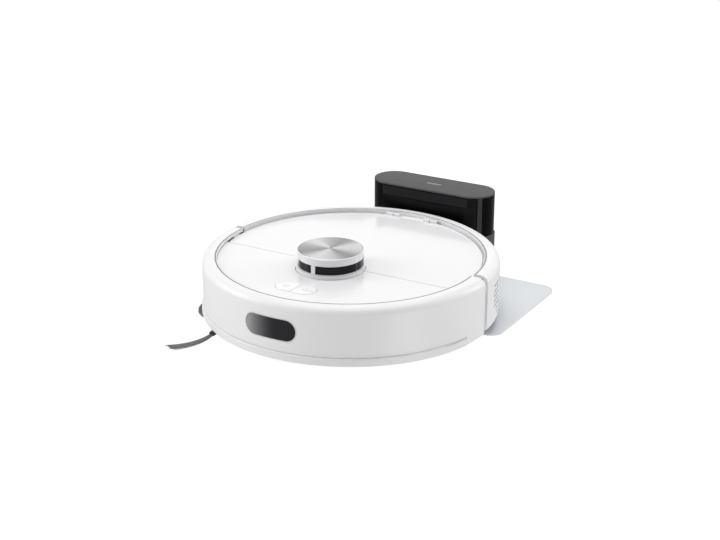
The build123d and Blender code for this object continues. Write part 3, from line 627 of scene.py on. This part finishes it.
def roller_tree(finish):
    """Bristles of the main roller, set in V-shaped rows."""
    tree, nodes, given = node_tree(
        "roller_rows", Int="Per Row, Rows", Vector="Centre",
        Float="Half Length, Inner Radius, Outer Radius, Skew, Thickness")
    line = nodes.points(given["Per Row"] * given["Rows"])
    number = nodes.add("GeometryNodeInputIndex")
    row = (number / given["Per Row"]).floor()
    place = (number % given["Per Row"]) / (given["Per Row"] - 1.0)
    jitter = nodes.scatter(-0.5, 0.5, number, 5)
    x = (place * 2.0 - 1.0) * given["Half Length"]
    turn = row * (2 * math.pi) / given["Rows"] + abs(x) * given["Skew"] + jitter * 0.16
    length = given["Outer Radius"] - given["Inner Radius"]
    half_way = given["Inner Radius"] + length * 0.5
    spot = nodes.vector(X=x, Y=-turn.sin() * half_way, Z=turn.cos() * half_way)
    points = nodes.moved(line, nodes.shifted(spot, given["Centre"]))
    bristle = nodes.add(
        "GeometryNodeMeshCone", None,
        {"Vertices": 4, "Radius Top": given["Thickness"] * 0.6,
         "Radius Bottom": given["Thickness"], "Depth": length})
    bristle = nodes.add(
        "GeometryNodeTransform", None,
        {"Geometry": bristle, "Translation": nodes.vector(Z=length * -0.5)})
    close_tree(tree, nodes, nodes.copies(points, bristle, nodes.vector(X=turn)), finish)
    return tree


def louvre_tree(finish):
    """A curved inner grille: upright ribs and cross bars on an arc behind the air slots."""
    tree, nodes, given = node_tree(
        "air_grille", Int="Ribs, Bars", Vector="Centre",
        Float="Start, Span, Radius, Low, High, Rib Width, Side")
    number = nodes.add("GeometryNodeInputIndex")
    angle = given["Start"] + given["Span"] * number / (given["Ribs"] - 1.0)
    spot = nodes.vector(
        X=given["Side"] * angle.sin() * given["Radius"], Y=-angle.cos() * given["Radius"],
        Z=(given["Low"] + given["High"]) * 0.5)
    ribs = nodes.moved(nodes.points(given["Ribs"]), nodes.shifted(spot, given["Centre"]))
    size = nodes.vector(X=RIB_DEPTH, Y=given["Rib Width"], Z=given["High"] - given["Low"])
    rib = nodes.add("GeometryNodeMeshCube", None, {"Size": size})
    upright = nodes.copies(ribs, rib, nodes.vector(Z=given["Side"] * (angle - math.pi / 2)))
    arc = nodes.add(
        "GeometryNodeCurveArc", {"mode": "RADIUS"},
        {"Resolution": 40, "Radius": given["Radius"],
         "Start Angle": given["Start"] - math.pi / 2, "Sweep Angle": given["Span"]})
    bar = nodes.swept(arc, given["Rib Width"] * 0.5, 6)
    bar = nodes.add(
        "GeometryNodeTransform", None,
        {"Geometry": bar, "Scale": nodes.vector(X=given["Side"], Y=1.0, Z=1.0)})
    height = given["Low"] + (given["High"] - given["Low"]) * number / (given["Bars"] - 1.0)
    level = nodes.shifted(nodes.vector(Z=height), given["Centre"])
    across = nodes.copies(nodes.moved(nodes.points(given["Bars"]), level), bar)
    joined = nodes.add("GeometryNodeJoinGeometry", None, {"Geometry": upright})
    tree.links.new(across.socket, joined.socket.node.inputs["Geometry"])
    close_tree(tree, nodes, joined, finish)
    return tree


# ------------------------------------------------------------ finishes
def make_finishes():
    """All procedural finishes, from the colour settings."""
    c = colours()
    moulded(
        "white_gloss", c.white_gloss, 0.14, 700.0, 0.000003, coat=0.05, drift=0.008, spread=0.03)
    moulded("white_satin", c.white_satin, 0.42, 1100.0, 0.000010, coat=0.1, drift=0.01, spread=0.04)
    moulded("strip_white", c.strip_white, 0.42, 1400.0, 0.000016, drift=0.012)
    moulded("key_white", c.key_white, 0.30, 1300.0, 0.000010, coat=0.2, drift=0.012)
    moulded("print_grey", c.print_grey, 0.5, 2400.0, 0.000008, drift=0.05)
    moulded("trim_grey", c.trim_grey, 0.2, 1500.0, 0.000006, coat=0.5, drift=0.02)
    # Painted shade: grey for the strip along the rim's inner edge.
    moulded("gap_shade_grey", c.gap_shade_grey, 0.5, 1500.0, 0.000010, drift=0.04)
    black = moulded("dock_gloss", c.dock_gloss, 0.07, 500.0, 0.000002, drift=0.2, spread=0.03)
    black.set(Specular_IOR_Level=0.13)
    moulded("inner_grey", c.inner_grey, 0.48, 1200.0, 0.000020, drift=0.06)
    moulded("chassis_white", c.chassis_white, 0.45, 1000.0, 0.000025, drift=0.03)
    moulded("lens_white", c.lens_white, 0.25, 900.0, 0.000006, coat=0.4, drift=0.03)
    moulded("lens_smoke", c.lens_smoke, 0.3, 900.0, 0.000006, coat=0.3, drift=0.05)
    moulded("cell_wrap", c.wrap, 0.3, 260.0, 0.000050, coat=0.4, drift=0.12)

    window = moulded(
        "window_black", c.window_black, 0.06, 400.0, 0.000002, drift=0.15, spread=0.02)
    window.set(Specular_IOR_Level=0.12)

    lens = moulded(
        "bumper_lens_tint_and_painted_reflection", c.window_black, 0.05, 400.0, 0.000002, drift=0.15, spread=0.02)
    # Painted reflection: the lens colour lightens towards -X, standing in for a light mirrored in the
    # lens; the dark end is the lens's own tint.
    painted_reflection_ramp = ((0.008 - lens.axis("X")) / 0.042).clamped() ** 2.0
    lens.set(Base_Color=lens.mixed(painted_reflection_ramp, rgba(c.window_black), rgba(c.lens_painted_reflection)))

    matt = moulded("dock_matt", c.dock_matt, 0.55, 1500.0, 0.000045, drift=0.07, spread=0.06)
    speck = (matt.noise(2600.0, 1.0) > 0.66) * 0.35
    matt.set(Base_Color=matt.mixed(speck, rgba(c.dock_matt, 0.96), rgba(c.dock_matt, 1.22)))

    black = moulded("black_plastic", c.rubber, 0.5, 1300.0, 0.000030, drift=0.15, spread=0.06)
    black.set(Base_Color=black.mixed(
        black.noise(30.0, 3.0), rgba(c.rubber, 1.1), rgba(c.rubber, 1.6)))

    rubber = moulded("rubber", c.rubber, 0.78, 900.0, 0.000050, drift=0.2, spread=0.08)
    dust = (rubber.noise(160.0, 5.0, 0.7) - 0.45) * 0.5
    rubber.set(Base_Color=rubber.mixed(dust.clamped(), rgba(c.rubber), rgba(c.rubber, 3.2)))

    bristle = moulded("bristle", c.bristle, 0.45, 1800.0, 0.000010, drift=0.1)
    streak = bristle.noise(1500.0, 1.0)
    bristle.set(Base_Color=bristle.mixed(streak, rgba(c.bristle, 0.6), rgba(c.bristle, 1.5)))
    bristle.set(Specular_IOR_Level=0.4)

    mat = Finish("mat_sheet", Coat_Weight=0.25, Coat_Roughness=0.3)
    cloud = mat.noise(9.0, 3.0)
    mat.set(Base_Color=mat.mixed(cloud, rgba(c.mat_tint, 0.985), rgba(c.mat_tint, 1.015)))
    mat.set(Roughness=(mat.noise(240.0, 3.0) - 0.5) * 0.12 + 0.42)
    cell = mat.add(
        "ShaderNodeTexVoronoi", {"feature": "F1"},
        {"Vector": mat.place(), "Scale": 420.0, "Randomness": 0.35}, output="Distance")
    mat.bump(cell, 0.00004, 0.6)
    FINISHES["mat_sheet"] = mat.material

    spun_disc("spun_metal", c.spun_metal, TURRET)
    metal("steel", c.steel, 0.32)
    metal("contact_plating", c.gold, 0.22)

    board = moulded("board_green", c.board, 0.38, 600.0, 0.000010, coat=0.5, drift=0.1)
    tracks = board.add(
        "ShaderNodeTexBrick", {"offset": 0.35, "squash": 1.6},
        {"Vector": board.place(), "Scale": 210.0, "Mortar Size": 0.06, "Color1": (0, 0, 0, 1),
         "Color2": (0, 0, 0, 1), "Mortar": (1, 1, 1, 1)}, output="Fac")
    board.set(Base_Color=board.mixed(tracks * 0.5, rgba(c.board), rgba(c.board, 2.6)))

    smoke = moulded("smoked_bin", c.smoke, 0.14, 300.0, 0.000006, coat=0.8, drift=0.15)
    smoke.set(Alpha=0.72)

    paper = moulded("filter_paper", c.filter_paper, 0.85, 1300.0, 0.000120, drift=0.06)
    fibre = paper.add(
        "ShaderNodeTexWave", {"wave_type": "BANDS"},
        {"Vector": paper.place(), "Scale": 500.0, "Distortion": 6.0, "Detail": 3.0}, output="Fac")
    paper.bump(fibre, 0.00008)


# ------------------------------------------------------------ pieces
class OBJECT_OT_robot_finishes(bpy.types.Operator):
    """Make every procedural finish from the colour settings"""
    bl_idname = "object.robot_finishes"
    bl_label = "Finishes"

    def execute(self, context):
        make_finishes()
        return {"FINISHED"}


class OBJECT_OT_robot_shells(bpy.types.Operator):
    """Bumper, side shell, covers and lid with soft moulded edges"""
    bl_idname = "object.robot_shells"
    bl_label = "Shells and Covers"

    def execute(self, context):
        refine("bumper_shell", "bumper_wall", "white_satin", 0.8, segments=3)
        refine("bumper_strip", "bumper_soft_strip", "strip_white", 0.9, segments=3)
        refine("bumper_window", "bumper_lens", "bumper_lens_tint_and_painted_reflection", 0.25)
        refine("bumper_window_trim", "bumper_lens_rim", "trim_grey", 0.1)
        refine("rear_side_shell", "rear_wall", "white_satin", 0.45)
        refine("front_cover", "front_cover_gloss", "white_gloss", 0.25)
        refine("lid_panel", "lid_gloss", "white_gloss", 0.3)
        refine("top_deck", "inner_deck", "white_satin", 0.3)
        paint("chassis_wall", "white_satin")
        return {"FINISHED"}


def rim_shade_strip(name, centre, radius, height, start, span, body):
    """Thin grey strip along the inner edge of the rolled rim: painted shade in place of the shaded
    gap between rim and cover.
    """
    steps = 96
    half = RIM_SHADE_STRIP_WIDTH / 2
    rise = 0.12 * MM
    profile = ((-half, -rise), (-half * 0.6, rise), (half * 0.6, rise), (half, -rise))
    form = bmesh.new()
    rings = []
    for step in range(steps + 1):
        turn = start + span * step / steps
        out = Vector((math.cos(turn), math.sin(turn), 0.0))
        rings.append([
            form.verts.new(centre + out * (radius + reach) + Vector((0.0, 0.0, height + lift)))
            for reach, lift in profile])
    for near, far in zip(rings, rings[1:]):
        for index in range(len(profile)):
            after = (index + 1) % len(profile)
            form.faces.new((near[index], far[index], far[after], near[after]))
    form.faces.new(rings[0])
    form.faces.new(rings[-1][::-1])
    bmesh.ops.recalc_face_normals(form, faces=form.faces)
    mesh = mesh_from(form, name)
    finish_mesh(mesh)
    return settle(linked(name, mesh), body, SLOT_OF["bumper_window_trim"], "gap_shade_grey")


class OBJECT_OT_robot_rim_shade_strips(bpy.types.Operator):
    """Grey strip round the inner edge of the rim, on the bumper and on the rear shell: painted shade
    of the gap there
    """
    bl_idname = "object.robot_rim_seals"
    bl_label = "Rim Shade Strips"

    def execute(self, context):
        front_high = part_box("bumper_shell")[1]
        rear_low, rear_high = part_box("rear_side_shell")
        lid_radius = half_width("lid_panel")
        gap = 0.4 * MM
        front_radius = lid_radius + 2.4 * MM
        front_centre = ROBOT_AXIS + BUMPER_RIM_OFFSET
        dip = math.asin((front_high.y - gap - front_centre.y) / front_radius)
        rim_shade_strip("rim_shade_strip_front", front_centre, front_radius, front_high.z,
                 math.pi - dip, math.pi + 2 * dip, "bumper")
        rear_radius = lid_radius + 4.0 * MM
        dip = math.asin((rear_low.y + gap - ROBOT_AXIS.y) / rear_radius)
        rim_shade_strip("rim_shade_strip_rear", ROBOT_AXIS, rear_radius, rear_high.z,
                 dip, math.pi - 2 * dip, "robot")
        return {"FINISHED"}


class OBJECT_OT_robot_grilles(bpy.types.Operator):
    """Inner grilles behind the air slots"""
    bl_idname = "object.robot_grilles"
    bl_label = "Air Grilles"

    def execute(self, context):
        tree = louvre_tree("black_plastic")
        low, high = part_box("rear_side_shell")
        for word, side in (("left", 1.0), ("right", -1.0)):
            values = {
                "Ribs": 46, "Start": math.radians(99.5), "Span": math.radians(26.5),
                "Radius": BODY_RADIUS - 4.4 * MM, "Low": low.z + 5 * MM, "High": high.z - 17 * MM,
                "Rib Width": 0.9 * MM, "Bars": 15, "Centre": tuple(ROBOT_AXIS), "Side": side,
            }
            grille = grown("air_grille_" + word, tree, values, "black_plastic")
            if side < 0:
                grille.data.flip_normals()
            settle(grille, "robot", SLOT_OF["fan_housing"], "black_plastic")
        return {"FINISHED"}


def symbol_power(centre, size, height):
    """Generic stand-by symbol: an open ring with a stem."""
    points = []
    for step in range(33):
        turn = math.radians(125 + 290 * step / 32)
        points.append((centre.x + size * math.cos(turn), centre.y + size * math.sin(turn), height))
    stem = [(centre.x, centre.y + size * 1.15, height), (centre.x, centre.y + size * 0.15, height)]
    return (points, stem)


def symbol_home(centre, size, height):
    """Generic house outline."""
    outline = (
        (-0.78, -0.85), (-0.78, 0.15), (0.0, 0.95), (0.78, 0.15), (0.78, -0.85), (-0.78, -0.85))
    eaves = ((-1.1, -0.05), (0.0, 1.05), (1.1, -0.05))
    return tuple(
        [(centre.x + size * x, centre.y + size * y, height) for x, y in line]
        for line in (outline, eaves))


class OBJECT_OT_robot_keys(bpy.types.Operator):
    """Power and home keys with printed symbols, and the status light"""
    bl_idname = "object.robot_keys"
    bl_label = "Keys"

    def execute(self, context):
        size = sizes().icon_height / 2.2
        stroke = 0.34 * MM
        for node, body, draw in (
                ("button_power", "power_key", symbol_power),
                ("button_home", "home_key", symbol_home)):
            refine(node, node.replace("button", "key"), "key_white", 0.3)
            low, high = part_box(node)
            spot = (low + high) / 2
            strokes = draw(spot, size, high.z + 0.02 * MM)
            form = bmesh.new()
            for line in strokes:
                form.from_mesh(tube_mesh("stroke", line, stroke))
            bmesh.ops.scale(
                form, vec=(1.0, 1.0, 0.16), space=Matrix.Translation((0, 0, -high.z)),
                verts=form.verts)
            symbol = linked(node + "_symbol", mesh_from(form, node + "_symbol"))
            settle(symbol, body, SLOT_OF[node], "print_grey")
        refine("status_led", "status_light", "lens_white", 0.15)
        paint("button_board", "board_green")
        return {"FINISHED"}


def disc_outline(radius, low, high, grooves):
    """Profile of the turned disc: closed bottom, bevelled rim and fine real grooves."""
    points = [(0.0, low), (radius, low), (radius, high - 0.3 * MM), (radius - 0.3 * MM, high)]
    inner = 2.6 * MM
    pitch = (radius - 0.9 * MM - inner) / grooves
    depth = 0.035 * MM
    for number in range(grooves):
        outer = radius - 0.9 * MM - pitch * number
        points.append((outer, high))
        points.append((outer - pitch / 2, high - depth))
    points += [(inner, high), (0.5 * MM, high - 0.9 * MM), (0.0, high - 0.9 * MM)]
    return points


class OBJECT_OT_robot_turret(bpy.types.Operator):
    """Laser turret: cap, pillars, dark band, turned metal disc and the turning head"""
    bl_idname = "object.robot_turret"
    bl_label = "Laser Turret"

    def execute(self, context):
        refine("lidar_housing", "turret_cap", "white_gloss", 0.2)
        refine("lidar_flange", "turret_flange", "white_satin", 0.25)
        refine("lidar_window", "turret_band", "window_black", 0.0)
        low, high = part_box("lidar_top_disc")
        outline = disc_outline(half_width("lidar_top_disc"), low.z, high.z, sizes().disc_grooves)
        disc = linked("turret_disc", lathe("turret_disc", outline, TURRET, 160))
        settle(disc, "robot", SLOT_OF["lidar_top_disc"], "spun_metal", "lidar_top_disc")
        refine("lidar_scanner", "laser_head", "black_plastic", 0.3)
        refine("lidar_pulley", "belt_pulley_wheel", "inner_grey", 0.1)
        refine("lidar_motor", "turret_motor", "steel", 0.3)
        refine("lidar_belt", "turret_belt", "rubber", 0.1)
        return {"FINISHED"}


class OBJECT_OT_robot_side_brush(bpy.types.Operator):
    """Side brush: hub and three fanned tufts of filaments"""
    bl_idname = "object.robot_side_brush"
    bl_label = "Side Brush"

    def execute(self, context):
        refine("side_brush_hub", "side_brush_holder", "black_plastic", 0.4)
        hub = Vector(JOINT["side_brush_spin"]["pos_m"])
        low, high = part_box("side_brush_bristles")
        tree = side_tuft_tree("bristle")
        form = bmesh.new()
        for arm in range(3):
            values = {
                "Count": sizes().side_filaments, "Root": 26.0 * MM, "Tip": 80.0 * MM,
                "Heading": sizes().side_heading + math.radians(120 * arm),
                "Bend": sizes().side_bend,
                "Bend Start": 15.0 * MM, "Bend Span": 64.0 * MM,
                "Root Width": 3.2 * MM, "Tip Width": 13.0 * MM,
                "Root Height": high.z + 1.0 * MM, "Tip Height": low.z + 0.9 * MM,
                "Thickness": sizes().side_filament_radius, "Hub": (hub.x, hub.y, 0.0),
            }
            tuft = grown("tuft", tree, values, "bristle")
            form.from_mesh(tuft.data)
            bpy.data.objects.remove(tuft)
        mesh = mesh_from(form, "side_brush_filaments")
        finish_mesh(mesh, 60.0)
        filaments = linked("side_brush_filaments", mesh)
        settle(filaments, "side_brush", SLOT_OF["side_brush_bristles"], "bristle",
               "side_brush_bristles")
        return {"FINISHED"}


class OBJECT_OT_robot_roller(bpy.types.Operator):
    """Main roller with its V-shaped bristle rows"""
    bl_idname = "object.robot_roller"
    bl_label = "Main Roller"

    def execute(self, context):
        refine("main_brush_core", "roller_core", "inner_grey", 0.4)
        centre = Vector(JOINT["brush_spin"]["pos_m"])
        values = {
            "Per Row": sizes().roller_bristles, "Rows": sizes().roller_rows,
            "Half Length": half_width("main_brush_bristles") - 0.5 * MM, "Inner Radius": 8.3 * MM,
            "Outer Radius": 19.8 * MM, "Skew": math.radians(600), "Thickness": 0.42 * MM,
            "Centre": tuple(centre),
        }
        rows = grown("roller_bristles", roller_tree("bristle"), values, "bristle")
        settle(rows, "brush_roller", SLOT_OF["main_brush_bristles"], "bristle", "main_brush_bristles")
        return {"FINISHED"}


class OBJECT_OT_robot_running_gear(bpy.types.Operator):
    """Drive wheels, suspension arms and caster"""
    bl_idname = "object.robot_running_gear"
    bl_label = "Running Gear"

    def execute(self, context):
        for word in ("left", "right"):
            refine("tyre_" + word, "tread_tyre_" + word, "rubber", 0.4)
            refine("wheel_hub_" + word, "spoked_hub_" + word, "inner_grey", 0.4)
            refine("suspension_arm_" + word, "drive_arm_" + word, "inner_grey", 0.6)
        refine("caster_fork", "caster_swivel_fork", "black_plastic", 0.4)
        refine("caster_wheel", "caster_roll_wheel", "rubber", 0.3)
        return {"FINISHED"}


class OBJECT_OT_robot_underside(bpy.types.Operator):
    """Floor plate, brush frame, sensor windows, door and screws"""
    bl_idname = "object.robot_underside"
    bl_label = "Underside"

    def execute(self, context):
        refine("lower_housing", "floor_tray", "chassis_white", 0.4)
        refine("brush_guard", "roller_frame", "black_plastic", 0.5)
        refine("battery_door", "battery_hatch", "chassis_white", 0.3)
        refine("cliff_sensors", "drop_sensors", "window_black", 0.3)
        refine("housing_screws", "tray_screws", "steel", 0.12)
        refine("charging_plates", "rear_contacts", "contact_plating", 0.2)
        return {"FINISHED"}


class OBJECT_OT_robot_inner_works(bpy.types.Operator):
    """Battery, boards, fan, bin and filter inside the body"""
    bl_idname = "object.robot_inner_works"
    bl_label = "Inner Works"

    def execute(self, context):
        for node, finish in (
                ("battery_pack", "cell_wrap"), ("main_board", "board_green"),
                ("fan_housing", "inner_grey"), ("fan_impeller", "black_plastic"),
                ("side_brush_gearbox", "black_plastic"), ("brush_housing", "inner_grey"),
                ("lid_hinge_pin", "steel"), ("dust_filter", "filter_paper")):
            paint(node, finish)
        refine("dustbin", "bin_body", "smoked_bin", 0.5)
        refine("dustbin_cover", "bin_cover", "inner_grey", 0.5)
        return {"FINISHED"}


class OBJECT_OT_robot_dock(bpy.types.Operator):
    """Charging dock: polished tower, grained base and top, contacts and inlet"""
    bl_idname = "object.robot_dock"
    bl_label = "Charging Dock"

    def execute(self, context):
        refine("dock_cover", "dock_tower", "dock_gloss", 0.3)
        refine("dock_base", "dock_foot", "dock_matt", 0.4)
        refine("dock_top_plate", "dock_top", "dock_matt", 0.2)
        refine("dock_ir_window", "dock_beacon_window", "window_black", 0.2)
        refine("dock_status_lens", "dock_status_light", "lens_smoke", 0.3)
        refine("dock_power_inlet", "dock_inlet", "black_plastic", 0.3)
        refine("dock_feet", "dock_rubber_feet", "rubber", 0.5)
        for word in ("left", "right"):
            refine("dock_contact_" + word, "charge_contact_" + word, "contact_plating", 0.4)
        paint("dock_power_board", "board_green")
        return {"FINISHED"}


class OBJECT_OT_robot_mat(bpy.types.Operator):
    """Frosted floor mat"""
    bl_idname = "object.robot_mat"
    bl_label = "Floor Mat"

    def execute(self, context):
        refine("parking_mat", "floor_mat", "mat_sheet", 0.4)
        return {"FINISHED"}


# ------------------------------------------------------------ stage
def soft_light(name, place, target, size, power):
    """A rectangular soft light facing a point."""
    data = bpy.data.lights.new(name, "AREA")
    data.shape = "RECTANGLE"
    data.size, data.size_y = size
    data.energy = power
    lamp = bpy.data.objects.new(name, data)
    bpy.context.scene.collection.objects.link(lamp)
    lamp.location = place
    lamp.rotation_mode = "QUATERNION"
    lamp.rotation_quaternion = (Vector(target) - Vector(place)).to_track_quat("-Z", "Y")


def reflected_card(place, target, width, height, glow):
    """A bright studio card that only polished surfaces see."""
    form = bmesh.new()
    bmesh.ops.create_grid(form, x_segments=1, y_segments=1, size=0.5)
    bmesh.ops.scale(form, vec=(width, height, 1.0), verts=form.verts)
    turn = (Vector(target) - Vector(place)).to_track_quat("Z", "Y").to_matrix().to_4x4()
    bmesh.ops.transform(form, matrix=Matrix.Translation(place) @ turn, verts=form.verts)
    mesh = mesh_from(form, "stage_card")
    card = linked("stage_card", mesh)
    bright = Finish("card_glow", Base_Color=(0.0, 0.0, 0.0, 1.0))
    bright.set(Emission_Color=(1.0, 1.0, 1.0, 1.0), Emission_Strength=glow)
    bright.material.cycles.emission_sampling = "NONE"
    mesh.materials.append(bright.material)
    card.visible_camera = False
    card.visible_diffuse = False
    card.visible_shadow = False


class OBJECT_OT_robot_stage(bpy.types.Operator):
    """Pale floor, even surroundings, soft lights and the camera"""
    bl_idname = "object.robot_stage"
    bl_label = "Stage"

    def execute(self, context):
        stage = context.scene.robot_vacuum_stage
        form = bmesh.new()
        bmesh.ops.create_grid(form, x_segments=8, y_segments=8, size=stage.floor_size / 2)
        bmesh.ops.translate(form, vec=(0, 0, -FLOOR_DROP), verts=form.verts)
        floor = linked("stage_floor", mesh_from(form, "stage_floor"))
        pale = Finish("pale_floor", Specular_IOR_Level=0.0, Roughness=0.9)
        tone = pale.noise(3.0, 2.0)
        pale.set(Base_Color=pale.mixed(tone, (0.14, 0.14, 0.14, 1), (0.16, 0.16, 0.16, 1)))
        pale.set(Emission_Color=(1.0, 1.0, 1.0, 1.0), Emission_Strength=stage.floor_glow)
        floor.data.materials.append(pale.material)
        floor.visible_glossy = False
        reflected_card((1.33, -0.50, -0.47), (0.06, 0.19, 0.08), 0.66, 1.0, stage.card_glow)

        world = bpy.data.worlds.new("even_surroundings")
        context.scene.world = world
        world.use_nodes = True
        surround = world.node_tree.nodes["Background"]
        surround.inputs["Color"].default_value = (1.0, 1.0, 1.0, 1.0)
        surround.inputs["Strength"].default_value = stage.world_strength
        context.scene.view_settings.view_transform = "Standard"

        focus = (0.0, 0.0, 0.05)
        soft_light("light_top", (0.0, 0.1, 1.9), focus, (2.4, 2.4), stage.top_power)
        soft_light("light_left", (-1.8, -0.9, 0.9), focus, (1.0, 1.3), stage.left_power)
        soft_light("light_right", (1.25, 1.15, 0.6), focus, (0.25, 1.1), stage.right_power)
        soft_light("light_rear", (-0.6, 2.6, 1.1), focus, (3.0, 1.4), stage.rear_power)

        a, e = stage.azimuth, stage.elevation
        back = Vector((math.sin(a) * math.cos(e), -math.cos(a) * math.cos(e), math.sin(e)))
        right = Vector((math.cos(a), math.sin(a), 0.0))
        up = right.cross(-back)
        camera = bpy.data.cameras.new("main_view")
        camera.lens = stage.lens
        camera.sensor_width = 36.0
        holder = bpy.data.objects.new("main_view", camera)
        context.scene.collection.objects.link(holder)
        aim = ROBOT_AXIS + Vector((0.0, 0.0, VIEW_AIM_HEIGHT)) + right * VIEW_RIGHT + up * VIEW_UP
        holder.location = aim + back * stage.distance
        holder.rotation_mode = "QUATERNION"
        holder.rotation_quaternion = Matrix((right, up, back)).transposed().to_quaternion()
        context.scene.camera = holder
        return {"FINISHED"}


class VIEW3D_PT_robot_vacuum(bpy.types.Panel):
    """Lists the steps that build the robot vacuum"""
    bl_idname = "VIEW3D_PT_robot_vacuum"
    bl_label = "Robot Vacuum"
    bl_space_type = "VIEW_3D"
    bl_region_type = "UI"
    bl_category = "Robot Vacuum"

    def draw(self, context):
        layout = self.layout
        for group in (
                context.scene.robot_vacuum_sizes, context.scene.robot_vacuum_colours,
                context.scene.robot_vacuum_stage):
            box = layout.box()
            for name in group.bl_rna.properties.keys():
                if name not in ("name", "rna_type"):
                    box.prop(group, name)
        for step in STEPS:
            layout.operator(step.bl_idname)


STEPS = (
    OBJECT_OT_robot_finishes,
    OBJECT_OT_robot_shells,
    OBJECT_OT_robot_rim_shade_strips,
    OBJECT_OT_robot_grilles,
    OBJECT_OT_robot_keys,
    OBJECT_OT_robot_turret,
    OBJECT_OT_robot_side_brush,
    OBJECT_OT_robot_roller,
    OBJECT_OT_robot_running_gear,
    OBJECT_OT_robot_underside,
    OBJECT_OT_robot_inner_works,
    OBJECT_OT_robot_dock,
    OBJECT_OT_robot_mat,
    OBJECT_OT_robot_stage,
)
GROUPS = (
    ("robot_vacuum_sizes", RobotVacuumSizes),
    ("robot_vacuum_colours", RobotVacuumColours),
    ("robot_vacuum_stage", RobotVacuumStage),
)


def register():
    for name, group in GROUPS:
        bpy.utils.register_class(group)
        setattr(bpy.types.Scene, name, bpy.props.PointerProperty(type=group))
    for step in STEPS:
        bpy.utils.register_class(step)
    bpy.utils.register_class(VIEW3D_PT_robot_vacuum)


def unregister():
    bpy.utils.unregister_class(VIEW3D_PT_robot_vacuum)
    for step in reversed(STEPS):
        bpy.utils.unregister_class(step)
    for name, group in reversed(GROUPS):
        delattr(bpy.types.Scene, name)
        bpy.utils.unregister_class(group)


def main():
    """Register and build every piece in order."""
    register()
    for step in STEPS:
        family, name = step.bl_idname.split(".")
        getattr(getattr(bpy.ops, family), name)()


if __name__ == "__main__":
    main()
